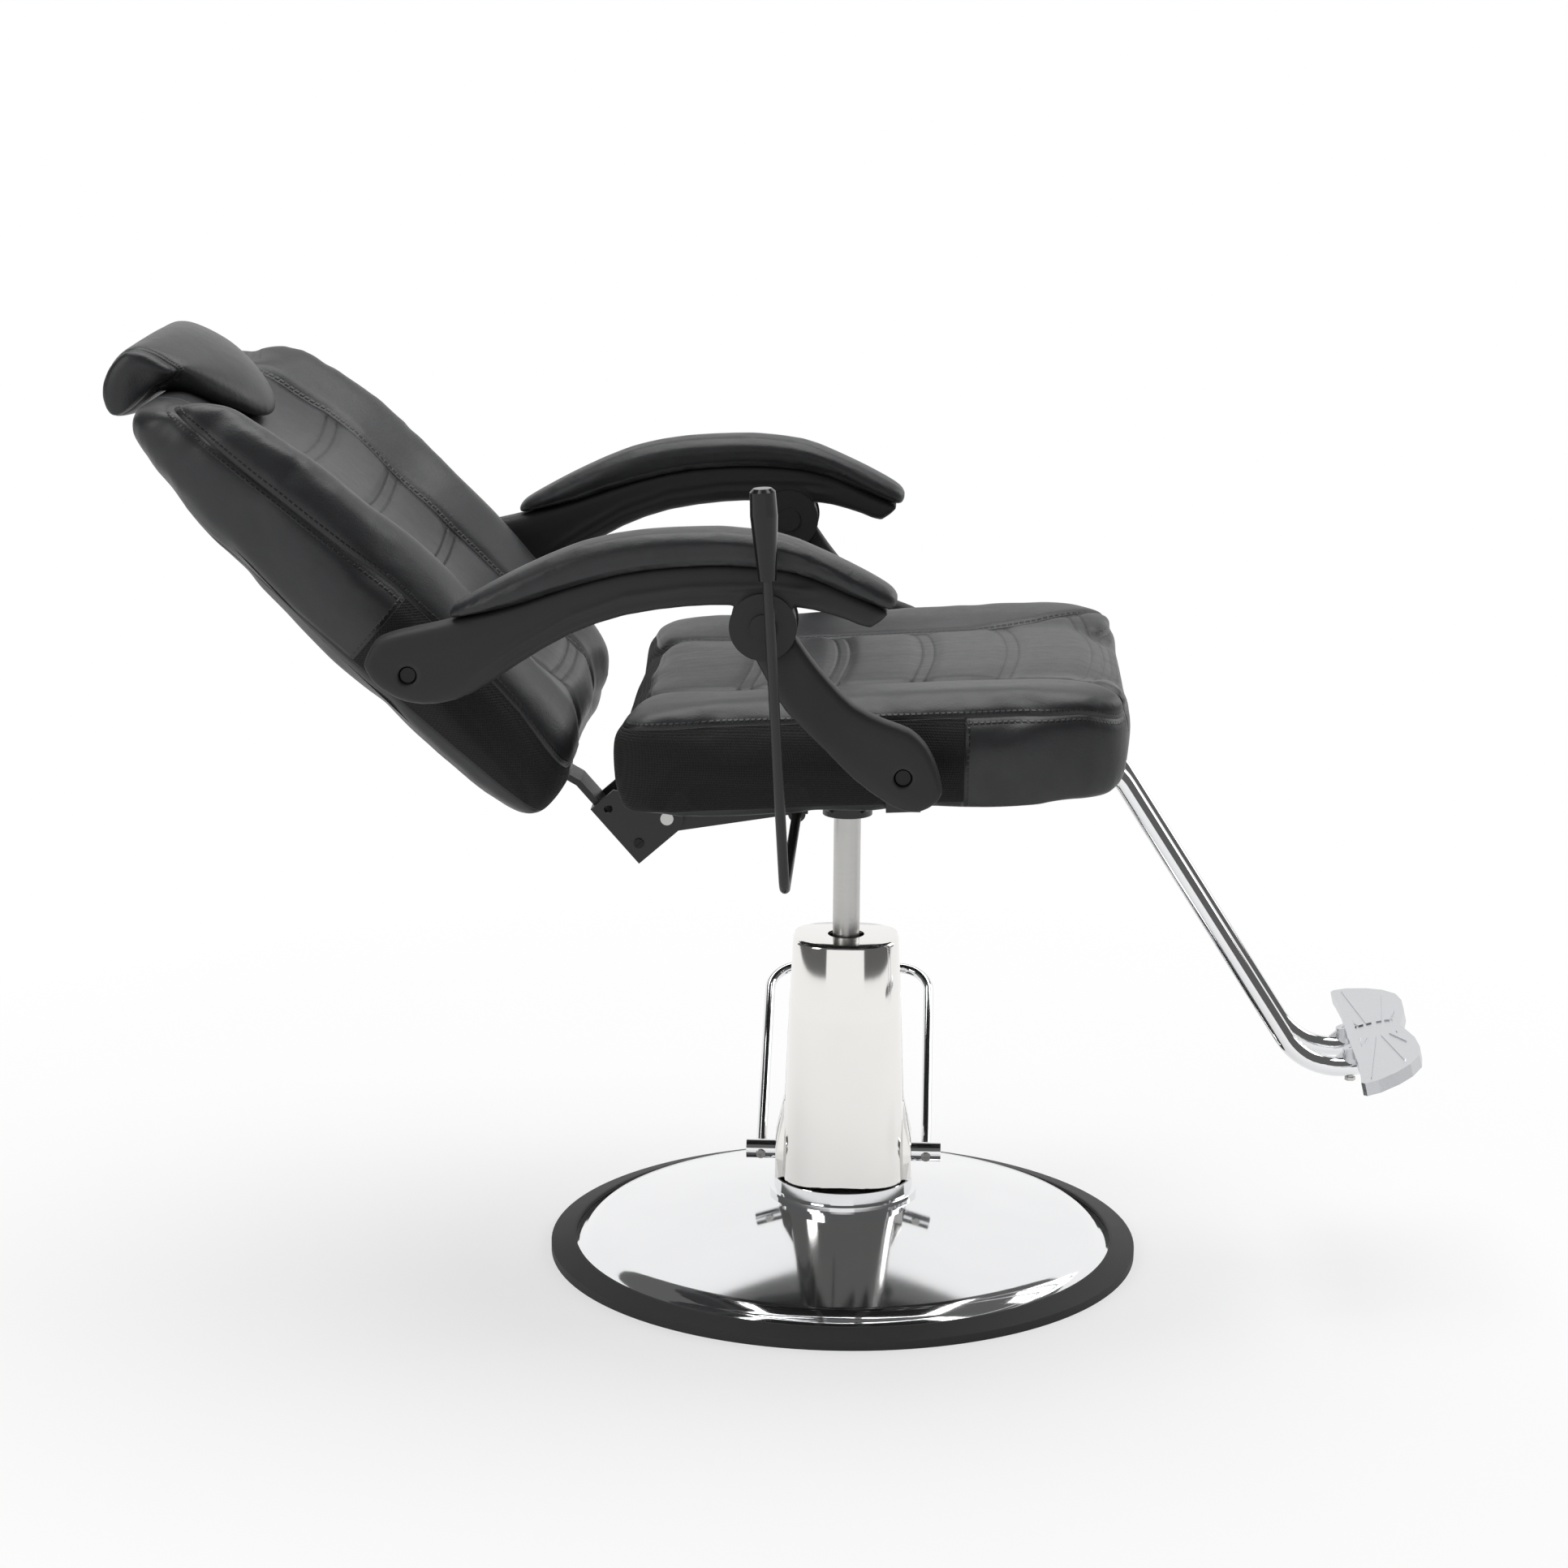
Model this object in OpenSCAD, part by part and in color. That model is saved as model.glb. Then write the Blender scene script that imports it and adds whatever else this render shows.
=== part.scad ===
// Reclining hydraulic barber chair, shown fully reclined with the pump part-raised.
// Millimetres. +X is the front, +Y the sitter's left, +Z up. The origin is the
// centre of the base on the floor.

/* [Base] */
// Outer diameter of the rubber floor ring
base_d = 550; // [520:5:620]
// Height of the floor ring's upright outer wall
ring_wall_h = 8; // [6:1:12]
// Width of the floor ring
ring_w = 29; // [27:1:34]
// Width of the floor ring that shows around the chromed disc
ring_show = 22; // [20:1:24]
// Height of the disc's flat hub above the floor
disc_h = 55; // [50:1:62]
// Sheet thickness of the disc
disc_t = 2; // [1.5:0.5:3]
// Number of stiffening ribs under the disc
spider_ribs = 6; // [4:1:8]

/* [Pump] */
// Diameter of the steel piston rod
rod_d = 25; // [24:0.5:28]
// Length of rod that stands out between the pump and the seat
rod_out = 115; // [100:1:130]
// Outer diameter of the pump cylinder
cylinder_d = 62; // [58:1:66]
// Bore of the pump cylinder
cylinder_bore = 46; // [44:1:48]
// Height of the top of the chromed shroud
shroud_top_z = 305; // [300:1:315]
// Width of the shroud at its top
shroud_top_w = 98; // [94:1:102]
// Width of the shroud at its foot
shroud_foot_w = 118; // [114:1:122]
// Depth of the shroud as a share of its width
shroud_depth_share = 0.92; // [0.88:0.01:0.98]
// Sheet thickness of the shroud
shroud_t = 2; // [1.5:0.5:2.5]

/* [Pump pedal] */
// Height of the pedal's cross shaft
pedal_z = 94; // [92:1:96]
// Diameter of the cross shaft
pedal_shaft_d = 12; // [10:1:14]
// Distance between the pedal's two legs
pedal_w = 155; // [152:1:170]
// Length of the pedal's legs
pedal_len = 236; // [200:2:250]
// Diameter of the pedal's round bar
pedal_bar_d = 10; // [8:0.5:12]
// Slope of the pedal above level
pedal_slope = 31; // [28:1:34]

/* [Seat] */
// Length of the seat cushion
seat_len = 464; // [440:2:480]
// Width of the seat cushion
seat_w = 490; // [480:2:500]
// Thickness of the seat cushion at its crest
seat_t = 92; // [86:1:96]
// Height of the seat board's underside above the base centre
seat_z = 480; // [476:1:490]
// Upward tilt of the seat towards its front
seat_tilt = 3; // [2:0.5:4]
// Thickness of the plywood boards
board_t = 12; // [9:1:15]

/* [Back] */
// Angle between the seat and the back when fully reclined
recline_angle = 140; // [135:1:142]
// Length of the back cushion
back_len = 500; // [490:2:520]
// Greatest width of the back cushion
back_w = 476; // [466:2:484]
// Thickness of the back cushion at the crest of its side wings
back_t = 128; // [122:1:134]
// Distance of the recline pin behind the pump's axis
pivot_back = 165; // [160:1:170]
// Height of the recline pin
pivot_z = 419; // [416:1:422]
// Diameter of the recline pin
pin_d = 12; // [10:1:14]

/* [Headrest] */
// Width of the headrest
headrest_w = 250; // [220:2:270]
// Height of the headrest along the back
headrest_h = 150; // [140:2:160]
// Depth of the headrest
headrest_t = 92; // [86:1:98]

/* [Armrests] */
// Clear space between each arm frame and the wider of the two cushions
arm_side_gap = 16; // [15:1:22]
// Length of an arm frame from end to end
arm_len = 442; // [432:2:452]
// Thickness of an arm frame
arm_t = 36; // [32:1:40]
// Width of an arm pad
pad_w = 56; // [50:1:60]
// Thickness of a strut
strut_t = 24; // [20:1:28]
// Diameter of the round cap over each arm hub
hub_cap_d = 57; // [56:1:60]
// Diameter of the bolts and pins of the arms
arm_pin_d = 10; // [8:1:11]

/* [Recline lever] */
// Diameter of the lever's bar
lever_d = 9; // [8:0.5:11]
// Distance of the lever's handle from the side of the arm pad
lever_gap = 23; // [17:1:30]
// Height of the lever's handle above its shaft
lever_h = 343; // [320:1:350]
// Length of the grip
grip_len = 77; // [70:1:85]

/* [Footrest] */
// Diameter of the footrest's two tubes
foot_tube_d = 18; // [16:1:20]
// Wall of the footrest's tubes
foot_tube_wall = 2; // [1.5:0.5:3]
// Distance between the footrest's two tubes
foot_tube_gap = 66; // [60:1:72]
// Width of the footplate across the chair
footplate_w = 300; // [280:2:320]
// Depth of the footplate
footplate_len = 62; // [56:1:70]

/* [Hidden] */
$fn = 64;

// Facets of a small round thing
small_fn = 32;
// Overrun of a cut past the face it opens
over = 1;
// Radial gap between a shaft and the bore it turns in
run_fit = 0.05;
// Gap between neighbouring pieces that don't touch
gap = 0.3;
// Radial gap between a bolt and its hole
hole_fit = 0.3;

// Colours of the finishes
black_leather = [0.1, 0.1, 0.11];
black_paint = [0.06, 0.06, 0.07];
black_plastic = [0.12, 0.12, 0.13];
chrome_plate = [0.85, 0.86, 0.88];
bright_steel = [0.62, 0.62, 0.62];
zinc_plate = [0.75, 0.77, 0.78];
dark_rubber = [0.1, 0.1, 0.1];
raw_steel = [0.4, 0.4, 0.42];
plywood = [0.62, 0.47, 0.3];

// Base sizes
base_r = base_d / 2;
disc_r = base_r - ring_show;
disc_seat_z = ring_wall_h;
ring_lip_h = 4;
ring_top_z = disc_seat_z + disc_t + ring_lip_h;
disc_bevel_w = 17;
disc_bevel_h = 13;
disc_bevel_r = disc_r - disc_bevel_w;
disc_bevel_z = disc_seat_z + disc_bevel_h;
disc_hub_r = 72;
dome_bow_share = 0.18;
dome_steps = 10;
spider_t = 6;
spider_inner_r = 26;
spider_inset = 22;
spider_outer_r = disc_bevel_r - spider_inset;
spider_foot_w = 30;
spider_foot_z = 7;
base_bolt_r = 4;
base_bolt_pcd = 100;
base_bolt_count = 4;
base_bolt_head_r = 6.5;
base_bolt_head_h = 6;

// Pedal sizes
collar_r = 9.1;
collar_len = 27.6;
collar_bore_r = pedal_shaft_d / 2 + hole_fit;
shaft_end_inset = 1;
pedal_bend_r = 30;
pedal_screw_r = 2.5;
pedal_screw_head_r = 4.2;
pedal_screw_head_h = 3;
pedal_screw_drop = 12;
pedal_screw_sink = 0.5;

// Pump sizes
flange_r = 63;
flange_t = 10;
flange_top_z = disc_h + flange_t;
block_r = 40;
block_h = 50;
block_top_z = flange_top_z + block_h;
disc_hole_r = block_r + gap;
boss_r = 14;
boss_inset = 5;
gland_under = 16;
cylinder_top_z = shroud_top_z - gland_under;
gland_t = 11;
gland_collar = 3;
rod_r = rod_d / 2;
spigot_step = 3;
spigot_r = rod_r - spigot_step;
head_h = 26;
head_lift = 100;
head_z = block_top_z + head_lift;
seal_h = 5;
seal_depth = 2.5;
seal_shares = [0.2, 0.62];
shroud_ring_r = 69;
shroud_ring_step = 4;
shroud_ring_h = 17;
shroud_ring_mid = 5;
shroud_foot_z = disc_h + shroud_ring_h;
shroud_hole_r = 17;
shroud_square_share = 0.74;
shroud_bow_share = 1.15;
shroud_level_shares = [0, 0.35, 0.7];
shroud_edge = 4;
shroud_edge_soft = 1;
lobe_half_w = pedal_w / 2 - collar_len / 2 - gap;
lobe_r = 21;
lobe_top_z = 156;
lobe_top_r = 9;
boss_half_w = lobe_half_w - boss_inset;

// Seat sizes. Heights along the seat follow its tilt.
function seat_under(x) = seat_z + x * tan(seat_tilt);
seat_rear = -206;
seat_front = seat_rear + seat_len;
seat_half_w = seat_w / 2;
seat_board_inset = 23;
seat_board_half_w = seat_half_w - seat_board_inset;
seat_board_end_inset = 16;
seat_board_rear = seat_rear + seat_board_end_inset;
seat_board_front = seat_front - 2 * seat_board_end_inset;
seat_board_corner = 40;
seat_notch_half_w = 32;
seat_notch_x = -148;
socket_r = 23;
socket_bottom_z = shroud_top_z + rod_out;
socket_h = 28;
socket_plate_z = socket_bottom_z + socket_h;
socket_plate_t = 6;
socket_top_z = socket_plate_z + socket_plate_t;
socket_disc_r = 40;
socket_depth = 22;
socket_rib_r = 58;
socket_rib_t = 5;
socket_bolt_x = 52;
socket_bolt_r = 4;
socket_bolt_head_r = 6.5;
socket_bolt_head_h = 5;
socket_bolt_reach = 14;
rail_gap = 120;
rail_w = 25;
rail_h = 20;
rail_rear = -140;
rail_front = 215;
rail_wall = 2;
cross_rail_x = 95;
rail_inner_y = rail_gap / 2 - rail_w / 2;
rail_outer_y = rail_gap / 2 + rail_w / 2;

// Recline hinge sizes, in the frame of the channel
channel_lag = 8.6;
channel_tilt = recline_angle - 90 - channel_lag;
channel_deep = 48;
channel_below = 15.5;
channel_above = 52;
channel_edge = 28;
channel_half_w = 28;
channel_t = 3.5;
channel_round = 15;
channel_hole_r = 4;
channel_hole_x = -35.3;
channel_hole_z = 41.7;
channel_screw_r = 3;
channel_screw_head_r = 4.5;
channel_screw_head_t = 2;
channel_screw_z = -0.8;
channel_bolt_r = 4;
channel_bolt_head_r = 5;
channel_bolt_head_h = 5;
channel_bolt_z = 35;
slot_w = 1.2;
bar_w = 42;
bar_t = 6;
bar_start = 2;
bar_bend = 77;
bar_step_u = 114;
bar_end_u = 432;
ear_t = 4.5;
ear_half_w = channel_half_w - channel_t - hole_fit;
ear_r = 14;
ear_rise_x = -128;
ear_rise = 22;
ear_top_x = -112;
ear_front_x = -50;
ear_front_z = 424;
ear_web_x = -76;
pin_r = pin_d / 2;
pin_out = 2;
horn_x = -6.6;
horn_z = 37.8;
lock_pin_r = 3;
lock_slack = 1.6;

// Sizes of the lock between the seat and the back
lock_x = -62;
lock_z = 436;
lock_barrel_r = 9;
lock_barrel_front = 14;
lock_barrel_rear = 56;
lock_trunnion_r = 4;
lock_rod_r = 4.5;
lock_rod_inner = 18;
lock_eye_wall = 3.5;
lock_eye_t = 9;

// Lever sizes
lever_x = -45;
lever_z = 431;
lever_bend_r = 12;
lever_lean = 3.5;
lever_inner_y = 34;
lever_boss_r = 8;
lever_plate_t = 6;
lever_plate_half = 10;
lever_plate_y = 48;
crank_r = 8;
crank_t = 4;
crank_len = 9;
crank_hole_r = 2;
grip_top_r = 10.75;
grip_mid_r = 11.5;
grip_end_r = 7.5;
grip_edge = 3;
grip_mid_share = 0.7;
grip_cap = 8;

// Arm linkage: the rear pivot on the back, the hub and the foot of the strut
arm_gap = max(seat_w, back_w) + 2 * arm_side_gap + arm_t;
arm_y = arm_gap / 2;
arm_bolt_u = 273;
arm_bolt_v = 12.5;
function from_pin(v, u, angle) = [
  -pivot_back + v * cos(angle) - u * sin(angle),
  pivot_z + v * sin(angle) + u * cos(angle)];
rear = from_pin(arm_bolt_v, arm_bolt_u, recline_angle - 90);
hub_shares = [0.6787, 0.1063];
hub = rear + arm_len * hub_shares;
lever_out = arm_y + pad_w / 2 + lever_gap;
strut_reach = [119.11, -130.041];
foot = hub + strut_reach;
strut_len = norm(strut_reach);
arm_pin_r = arm_pin_d / 2;
hub_pin_step = 1;
hub_pin_r = arm_pin_r + hub_pin_step;
lug_r = 27;
tongue_r = 24;
tongue_t = 13.4;
tongue_side = 0.6;
tongue_round = 0.5;
strut_clear = 0.7;
cap_t = 3.5;
cap_boss_r = 11;
cap_boss_t = 2;
plug_r = 7.5;
plug_depth = 9;
bolt_head_r = 6.5;
bolt_head_h = 5;
loop_slack = 4.4;
foot_spacer_r = 11;
rear_spacer_r = 17;
rear_spacer_in = 2.5;
crossbar_w = 30;
crossbar_t = 5;
seat_ear_in = 14;
crossbar_half_w = seat_half_w - seat_ear_in;
back_ear_in = 7;
back_crossbar_half_w = back_w / 2 - back_ear_in;
nut_r = 8;
nut_t = 6;
arm_square_share = 0.45;
arm_bolt_in = 9;

// Arm frame: places along the arm, upper edge and lower edge, from the rear pivot
arm_shares = [
  [-0.0837, 0.0204, 0.0158], [-0.0679, 0.0588, -0.0158], [-0.0407, 0.0747, -0.0385],
  [0, 0.086, -0.0566], [0.0588, 0.0995, -0.0577], [0.1267, 0.1176, -0.0339],
  [0.2149, 0.1448, 0.0249], [0.31, 0.1787, 0.0814], [0.414, 0.2081, 0.1199],
  [0.5339, 0.224, 0.1391], [0.6176, 0.2262, 0.1425], [0.7104, 0.2195, 0.1425],
  [0.776, 0.2014, 0.1357], [0.8394, 0.1719, 0.1176], [0.8824, 0.1527, 0.1041],
  [0.9163, 0.1357, 0.1335]];
// Arm pad: places along the arm, top, underside, and width
pad_shares = [
  [0.0792, 0.1176, 0.1086, 0.3], [0.0928, 0.1357, 0.0962, 0.55],
  [0.1312, 0.1584, 0.0995, 0.8], [0.2104, 0.2014, 0.1437, 0.95],
  [0.3303, 0.2557, 0.1855, 1], [0.4502, 0.2805, 0.2149, 1],
  [0.5701, 0.2873, 0.2262, 1], [0.6154, 0.2873, 0.2262, 1],
  [0.7081, 0.276, 0.2206, 1], [0.7738, 0.2511, 0.2036, 0.98],
  [0.8371, 0.2217, 0.1742, 0.94], [0.8914, 0.1946, 0.1482, 0.85],
  [0.9231, 0.1742, 0.138, 0.68], [0.9321, 0.1584, 0.1516, 0.4]];
// Half section of the pad, as shares of its half width and its height
pad_round_shares = [[0, 0], [0.8, 0], [0.97, 0.12], [1, 0.34], [0.92, 0.66], [0.62, 0.93], [0, 1]];
// Strut: its left edge and its right edge, from the foot, in shares of its length
strut_shares = [
  [-0.749, 0.63, -0.539, 0.704], [-0.653, 0.448, -0.46, 0.59],
  [-0.562, 0.306, -0.363, 0.471], [-0.386, 0.131, -0.244, 0.352],
  [-0.238, -0.017, -0.096, 0.278], [-0.091, -0.125, 0.028, 0.233],
  [-0.006, -0.165, 0.108, 0.159], [0.074, -0.173, 0.159, 0.057],
  [0.135, -0.143, 0.183, -0.03], [0.166, -0.112, 0.19, -0.075]];

// Seat cushion: place along the seat, half width, underside and crest
seat_shares = [
  [0, 0.837, 0.37, 0.598], [0.0065, 0.918, 0.196, 0.717], [0.0237, 0.963, 0.043, 0.848],
  [0.056, 0.992, 0, 0.913], [0.1207, 1, 0, 0.957], [0.45, 1, 0, 0.985],
  [0.8534, 0.992, 0, 1], [0.9289, 0.947, 0, 0.967], [0.9698, 0.878, 0.087, 0.935],
  [0.9914, 0.776, 0.239, 0.891], [1, 0.612, 0.489, 0.815]];
// Half section of the seat cushion, as shares of its half width and its height
seat_round_shares = [
  [0, 0], [0.5, 0], [0.955, 0], [0.99, 0.08], [1, 0.4], [1, 0.76], [0.965, 0.93],
  [0.9, 0.99], [0.816, 1], [0.66, 0.97], [0.49, 0.9], [0.3, 0.935], [0, 0.945]];

// Back cushion: place up the back, half width, rear face, crest, place of the
// crest from the middle, and front face of the middle panel
back_foot_u = 98;
back_shares = [
  [0, 0.84, -0.258, -0.063, 0.63, -0.063], [0.012, 0.933, -0.297, 0.125, 0.651, 0.094],
  [0.044, 0.975, -0.336, 0.297, 0.664, 0.234], [0.104, 0.996, -0.375, 0.391, 0.672, 0.313],
  [0.194, 1, -0.391, 0.469, 0.672, 0.328], [0.274, 1, -0.375, 0.539, 0.672, 0.336],
  [0.404, 1, -0.344, 0.625, 0.672, 0.352], [0.504, 1, -0.313, 0.648, 0.693, 0.367],
  [0.584, 1, -0.281, 0.672, 0.798, 0.391], [0.694, 0.992, -0.234, 0.688, 0.84, 0.422],
  [0.794, 0.966, -0.188, 0.664, 0.84, 0.328], [0.878, 0.903, -0.117, 0.617, 0.777, 0.313],
  [0.934, 0.824, -0.047, 0.516, 0.75, 0.297], [0.974, 0.723, 0.023, 0.3, 0.64, 0.25],
  [0.998, 0.63, 0.109, 0.16, 0.525, 0.16]];
back_board_t = 10;
back_board_edge = 24;
back_board_low_u = 130;
back_board_high_u = 560;
back_board_step = 43;
bar_inset = 3;
board_inset = bar_inset + bar_t + gap / 2;
// Half section of the back: the panel up to the crest, as shares of the crest's
// place and of its rise over the panel
back_front_shares = [[0, 0], [0.35, 0], [0.62, 0.1], [0.82, 0.55], [1, 1]];
// From the crest to the side, as shares of the rest of the half width and of the
// thickness below the crest
back_wing_shares = [[0.45, 0.06], [0.8, 0.22], [1, 0.5]];
// From the side to the rear face, as shares of the half width and the thickness
back_rear_shares = [[1, 0.35], [0.96, 0.1], [0.85, 0], [0.4, 0], [0, 0]];

// Headrest and the bar that it slides on
headrest_u = 502;
guide_v = 20.5;
guide_low_u = 470;
guide_high_u = 588;
guide_wall = 2.5;
guide_block_u = 486;
guide_block_h = 20;
head_bar_w = 38;
head_bar_t = 5;
head_bar_low_u = 400;
head_bar_high_u = 632;
head_bar_fit = 0.08;
// Section of the headrest: place up the back, and depth in front of the pin
headrest_shares = [
  [0, 0.54], [0.12, 0.63], [0.373, 0.728], [0.627, 0.717], [0.82, 0.587], [0.953, 0.359],
  [1, 0.054], [0.953, -0.152], [0.82, -0.25], [0.693, -0.239], [0.653, -0.087],
  [0.645, 0.163], [0.593, 0.46], [0.387, 0.525], [0.153, 0.54], [0.027, 0.535]];
// Places across the headrest's half width, and the size of its section there
headrest_end_shares = [[0, 1], [0.6, 1], [0.8, 0.97], [0.92, 0.9], [0.98, 0.78], [1, 0.66]];
headrest_core_shares = [0.68, 0.62];

// Footrest sizes
foot_slope = 57.2;
foot_knee_x = 239;
foot_line_z = -rail_h + foot_tube_d / 2 + gap / 2;
foot_knee_z = seat_under(foot_knee_x) + foot_line_z;
foot_low_x = 427;
foot_low_z = foot_knee_z - (foot_low_x - foot_knee_x) * tan(foot_slope);
foot_rise = 8;
foot_tube_rear_x = 112;
foot_tube_front_x = 478;
foot_knee_r = 46;
foot_bend_r = 62;
footplate_x = 494;
footplate_z = 222;
footplate_tilt = 13;
footplate_t = 4;
footplate_rim_h = 12;
footplate_rim_t = 3;
foot_rib_h = 1.2;
foot_rib_w = 5;
foot_rib_inset = 9;
foot_oval_share = 0.34;
foot_oval_squash_share = 0.42;
foot_rib_angles = [-62, -38, -14, 14, 38, 62];
foot_boss_r = 8;
foot_boss_back = 10;
foot_gusset_t = 4;
foot_gusset_len = 14;
foot_screw_r = 3;
foot_screw_head_r = 5;
foot_screw_head_h = 3;
foot_screw_deep = 5;
clamp_t = 5;
clamp_w = 26;
clamp_places = [140, 196];
clamp_bolt_head_r = 5;
clamp_bolt_head_h = 4;
// Outline of half the footplate: depth forward of its middle, and half width
footplate_shares = [
  [0.36, 0], [0.42, 0.12], [0.5, 0.3], [0.52, 0.5], [0.47, 0.66], [0.3, 0.8], [0.08, 0.9],
  [-0.22, 0.985], [-0.42, 1], [-0.47, 0.97], [-0.45, 0.86], [-0.42, 0.6], [-0.43, 0.3],
  [-0.44, 0]];

// Smooth curve through a list of points, with the given steps to each span
function smooth(p, steps) = concat(
  [for (i = [0 : len(p) - 2], k = [0 : steps - 1])
    let (
      t = k / steps,
      a = p[max(i - 1, 0)],
      b = p[i],
      c = p[i + 1],
      d = p[min(i + 2, len(p) - 1)]
    )
    (2 * b + (c - a) * t + (2 * a - 5 * b + 4 * c - d) * t * t
      + (3 * b - a - 3 * c + d) * t * t * t) / 2],
  [p[len(p) - 1]]);

function signed_power(v, e) = sign(v) * pow(abs(v), e);
// Rounded closed curve between a circle (squareness 1) and a box (near 0)
function soft_box(half_a, half_b, squareness, count) = [
  for (i = [0 : count - 1])
    let (t = 360 * (i + 1 / 2) / count)
    [half_a * signed_power(cos(t), squareness), half_b * signed_power(sin(t), squareness)]];
// Half outline made whole by mirroring its points, first to last
function mirrored(half) = concat(
  half,
  [for (i = [len(half) - 2 : -1 : 1]) [-half[i].x, half[i].y]]);
function unit(v) = v / norm(v);

function middle(ring) = [for (p = ring) 1] * ring / len(ring);
// Closed solid through rings of equal length, in order along the solid. Each end is
// closed to its core, a point that sees the whole ring.
module loft(rings, flip = false, cores = undef) {
  count = len(rings[0]);
  last = len(rings) - 1;
  core = (last + 1) * count;
  ends = is_undef(cores) ? [middle(rings[0]), middle(rings[last])] : cores;
  function at(i, k) = i * count + k % count;
  faces = concat(
    [for (i = [0 : last - 1], k = [0 : count - 1], half = [0, 1])
      half == 0
        ? [at(i + 1, k + 1), at(i, k + 1), at(i, k)]
        : [at(i + 1, k), at(i + 1, k + 1), at(i, k)]],
    [for (k = [0 : count - 1]) [at(0, k), at(0, k + 1), core]],
    [for (k = [0 : count - 1]) [at(last, k + 1), at(last, k), core + 1]]);
  polyhedron(
    points = concat([for (r = rings) each r], ends),
    faces = flip ? [for (f = faces) [f[2], f[1], f[0]]] : faces);
}

// Round bar along a flat route, bent to its own radius at each inner point
function ways(route) = [for (i = [0 : len(route) - 2]) unit(route[i + 1] - route[i])];
function turns(way) = [for (i = [0 : len(way)])
  i == 0 || i == len(way) ? 0 : atan2(cross(way[i - 1], way[i]), way[i - 1] * way[i])];
module bent_bar(route, bends, d) {
  way = ways(route);
  turn = turns(way);
  last = len(way);
  reach = [for (i = [0 : last]) bends[i] * tan(abs(turn[i]) / 2)];
  for (i = [0 : last - 1]) {
    start = route[i] + way[i] * reach[i];
    end = route[i + 1] - way[i] * reach[i + 1];
    translate([start.x, start.y, 0])
      rotate([0, 90, atan2(way[i].y, way[i].x)])
        cylinder(h = norm(end - start), d = d);
  }
  for (i = [1 : 1 : last - 1]) {
    side = [-way[i - 1].y, way[i - 1].x] * sign(turn[i]);
    centre = route[i] - way[i - 1] * reach[i] + side * bends[i];
    translate([centre.x, centre.y, 0])
      rotate([0, 0, atan2(-side.y, -side.x)])
        mirror([0, turn[i] < 0 ? 1 : 0, 0])
          rotate_extrude(angle = abs(turn[i]))
            translate([bends[i], 0]) circle(d = d);
  }
}
// The same route on the upright plane of X and Z, as rings for a loft
function turned(v, a) = [v.x * cos(a) - v.y * sin(a), v.x * sin(a) + v.y * cos(a)];
function route_ring(p, way, r) = [for (k = [0 : 19])
  [p.x - way.y * r * cos(18 * k), -r * sin(18 * k), p.y + way.x * r * cos(18 * k)]];
function route_rings(route, bends, r) = let (
    way = ways(route),
    turn = turns(way),
    last = len(way)
  )
  concat(
    [route_ring(route[0], way[0], r)],
    [for (i = [1 : last - 1], k = [0 : 7])
      let (
        side = turned(way[i - 1], 90) * sign(turn[i]) * bends[i],
        start = route[i] - way[i - 1] * bends[i] * tan(abs(turn[i]) / 2),
        a = turn[i] * k / 7
      )
      route_ring(start + side - turned(side, a), turned(way[i - 1], a), r)],
    [route_ring(route[last], way[last - 1], r)]);

// Places children drawn in X and Y on the upright plane of X and Z, thick along Y
module upright(y = 0) {
  translate([0, y, 0]) rotate([90, 0, 0]) children();
}
// Cylinder along Y, centred on y
module cross_pin(x, z, r, length, y = 0) {
  translate([x, y, z]) rotate([90, 0, 0]) cylinder(h = length, r = r, center = true);
}
// Frame of the reclined back: +X is its front, +Z runs up along it from the pin
module in_back() {
  translate([-pivot_back, 0, pivot_z]) rotate([0, 90 - recline_angle, 0]) children();
}
// Frame of the hinge channel, square to its web
module in_channel() {
  translate([-pivot_back, 0, pivot_z]) rotate([0, -channel_tilt, 0]) children();
}
// Frame of the tilted seat, with the board's underside at Z of zero
module in_seat() {
  translate([0, 0, seat_z]) rotate([0, -seat_tilt, 0]) children();
}
// One armrest's frame: side is -1 on the right and 1 on the left
module at_arm(side) {
  translate([0, side * arm_y, 0]) children();
}

// Base
module base_ring() {
  color(dark_rubber) rotate_extrude($fn = 128) difference() {
    polygon([
      [base_r - ring_w, 0],
      [base_r, 0],
      [base_r, ring_wall_h],
      [disc_r + gap + over, ring_top_z],
      [disc_r - over, ring_top_z],
      [disc_r - over, disc_seat_z + disc_t + gap],
      [base_r - ring_w, disc_seat_z - gap]]);
    translate([base_r - ring_w - over, disc_seat_z - gap])
      square([disc_r + gap - base_r + ring_w + over, disc_t + 2 * gap]);
  }
}

// Height of the disc's top surface between its hub and its bevel
function dome_z(r) = let (share = (r - disc_hub_r) / (disc_bevel_r - disc_hub_r))
  disc_h - (disc_h - disc_bevel_z) * share * (1 - dome_bow_share * (1 - share));
dome_rings = [for (i = [0 : dome_steps])
  disc_hub_r + (disc_bevel_r - disc_hub_r) * i / dome_steps];

module base_disc() {
  outer = concat(
    [[disc_hole_r, disc_h]],
    [for (r = dome_rings) [r, dome_z(r)]],
    [[disc_r - 2 * disc_t, disc_seat_z + disc_t], [disc_r, disc_seat_z + disc_t]]);
  inner = concat(
    [[disc_r, disc_seat_z], [disc_r - 3 * disc_t, disc_seat_z]],
    [for (i = [dome_steps : -1 : 0])
      [dome_rings[i] - disc_t / 4, dome_z(dome_rings[i]) - disc_t]],
    [[disc_hole_r, disc_h - disc_t]]);
  color(chrome_plate) difference() {
    rotate_extrude($fn = 128) polygon(concat(outer, inner));
    base_bolt_holes(disc_h - disc_t - over, disc_t + 2 * over);
  }
}

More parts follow.
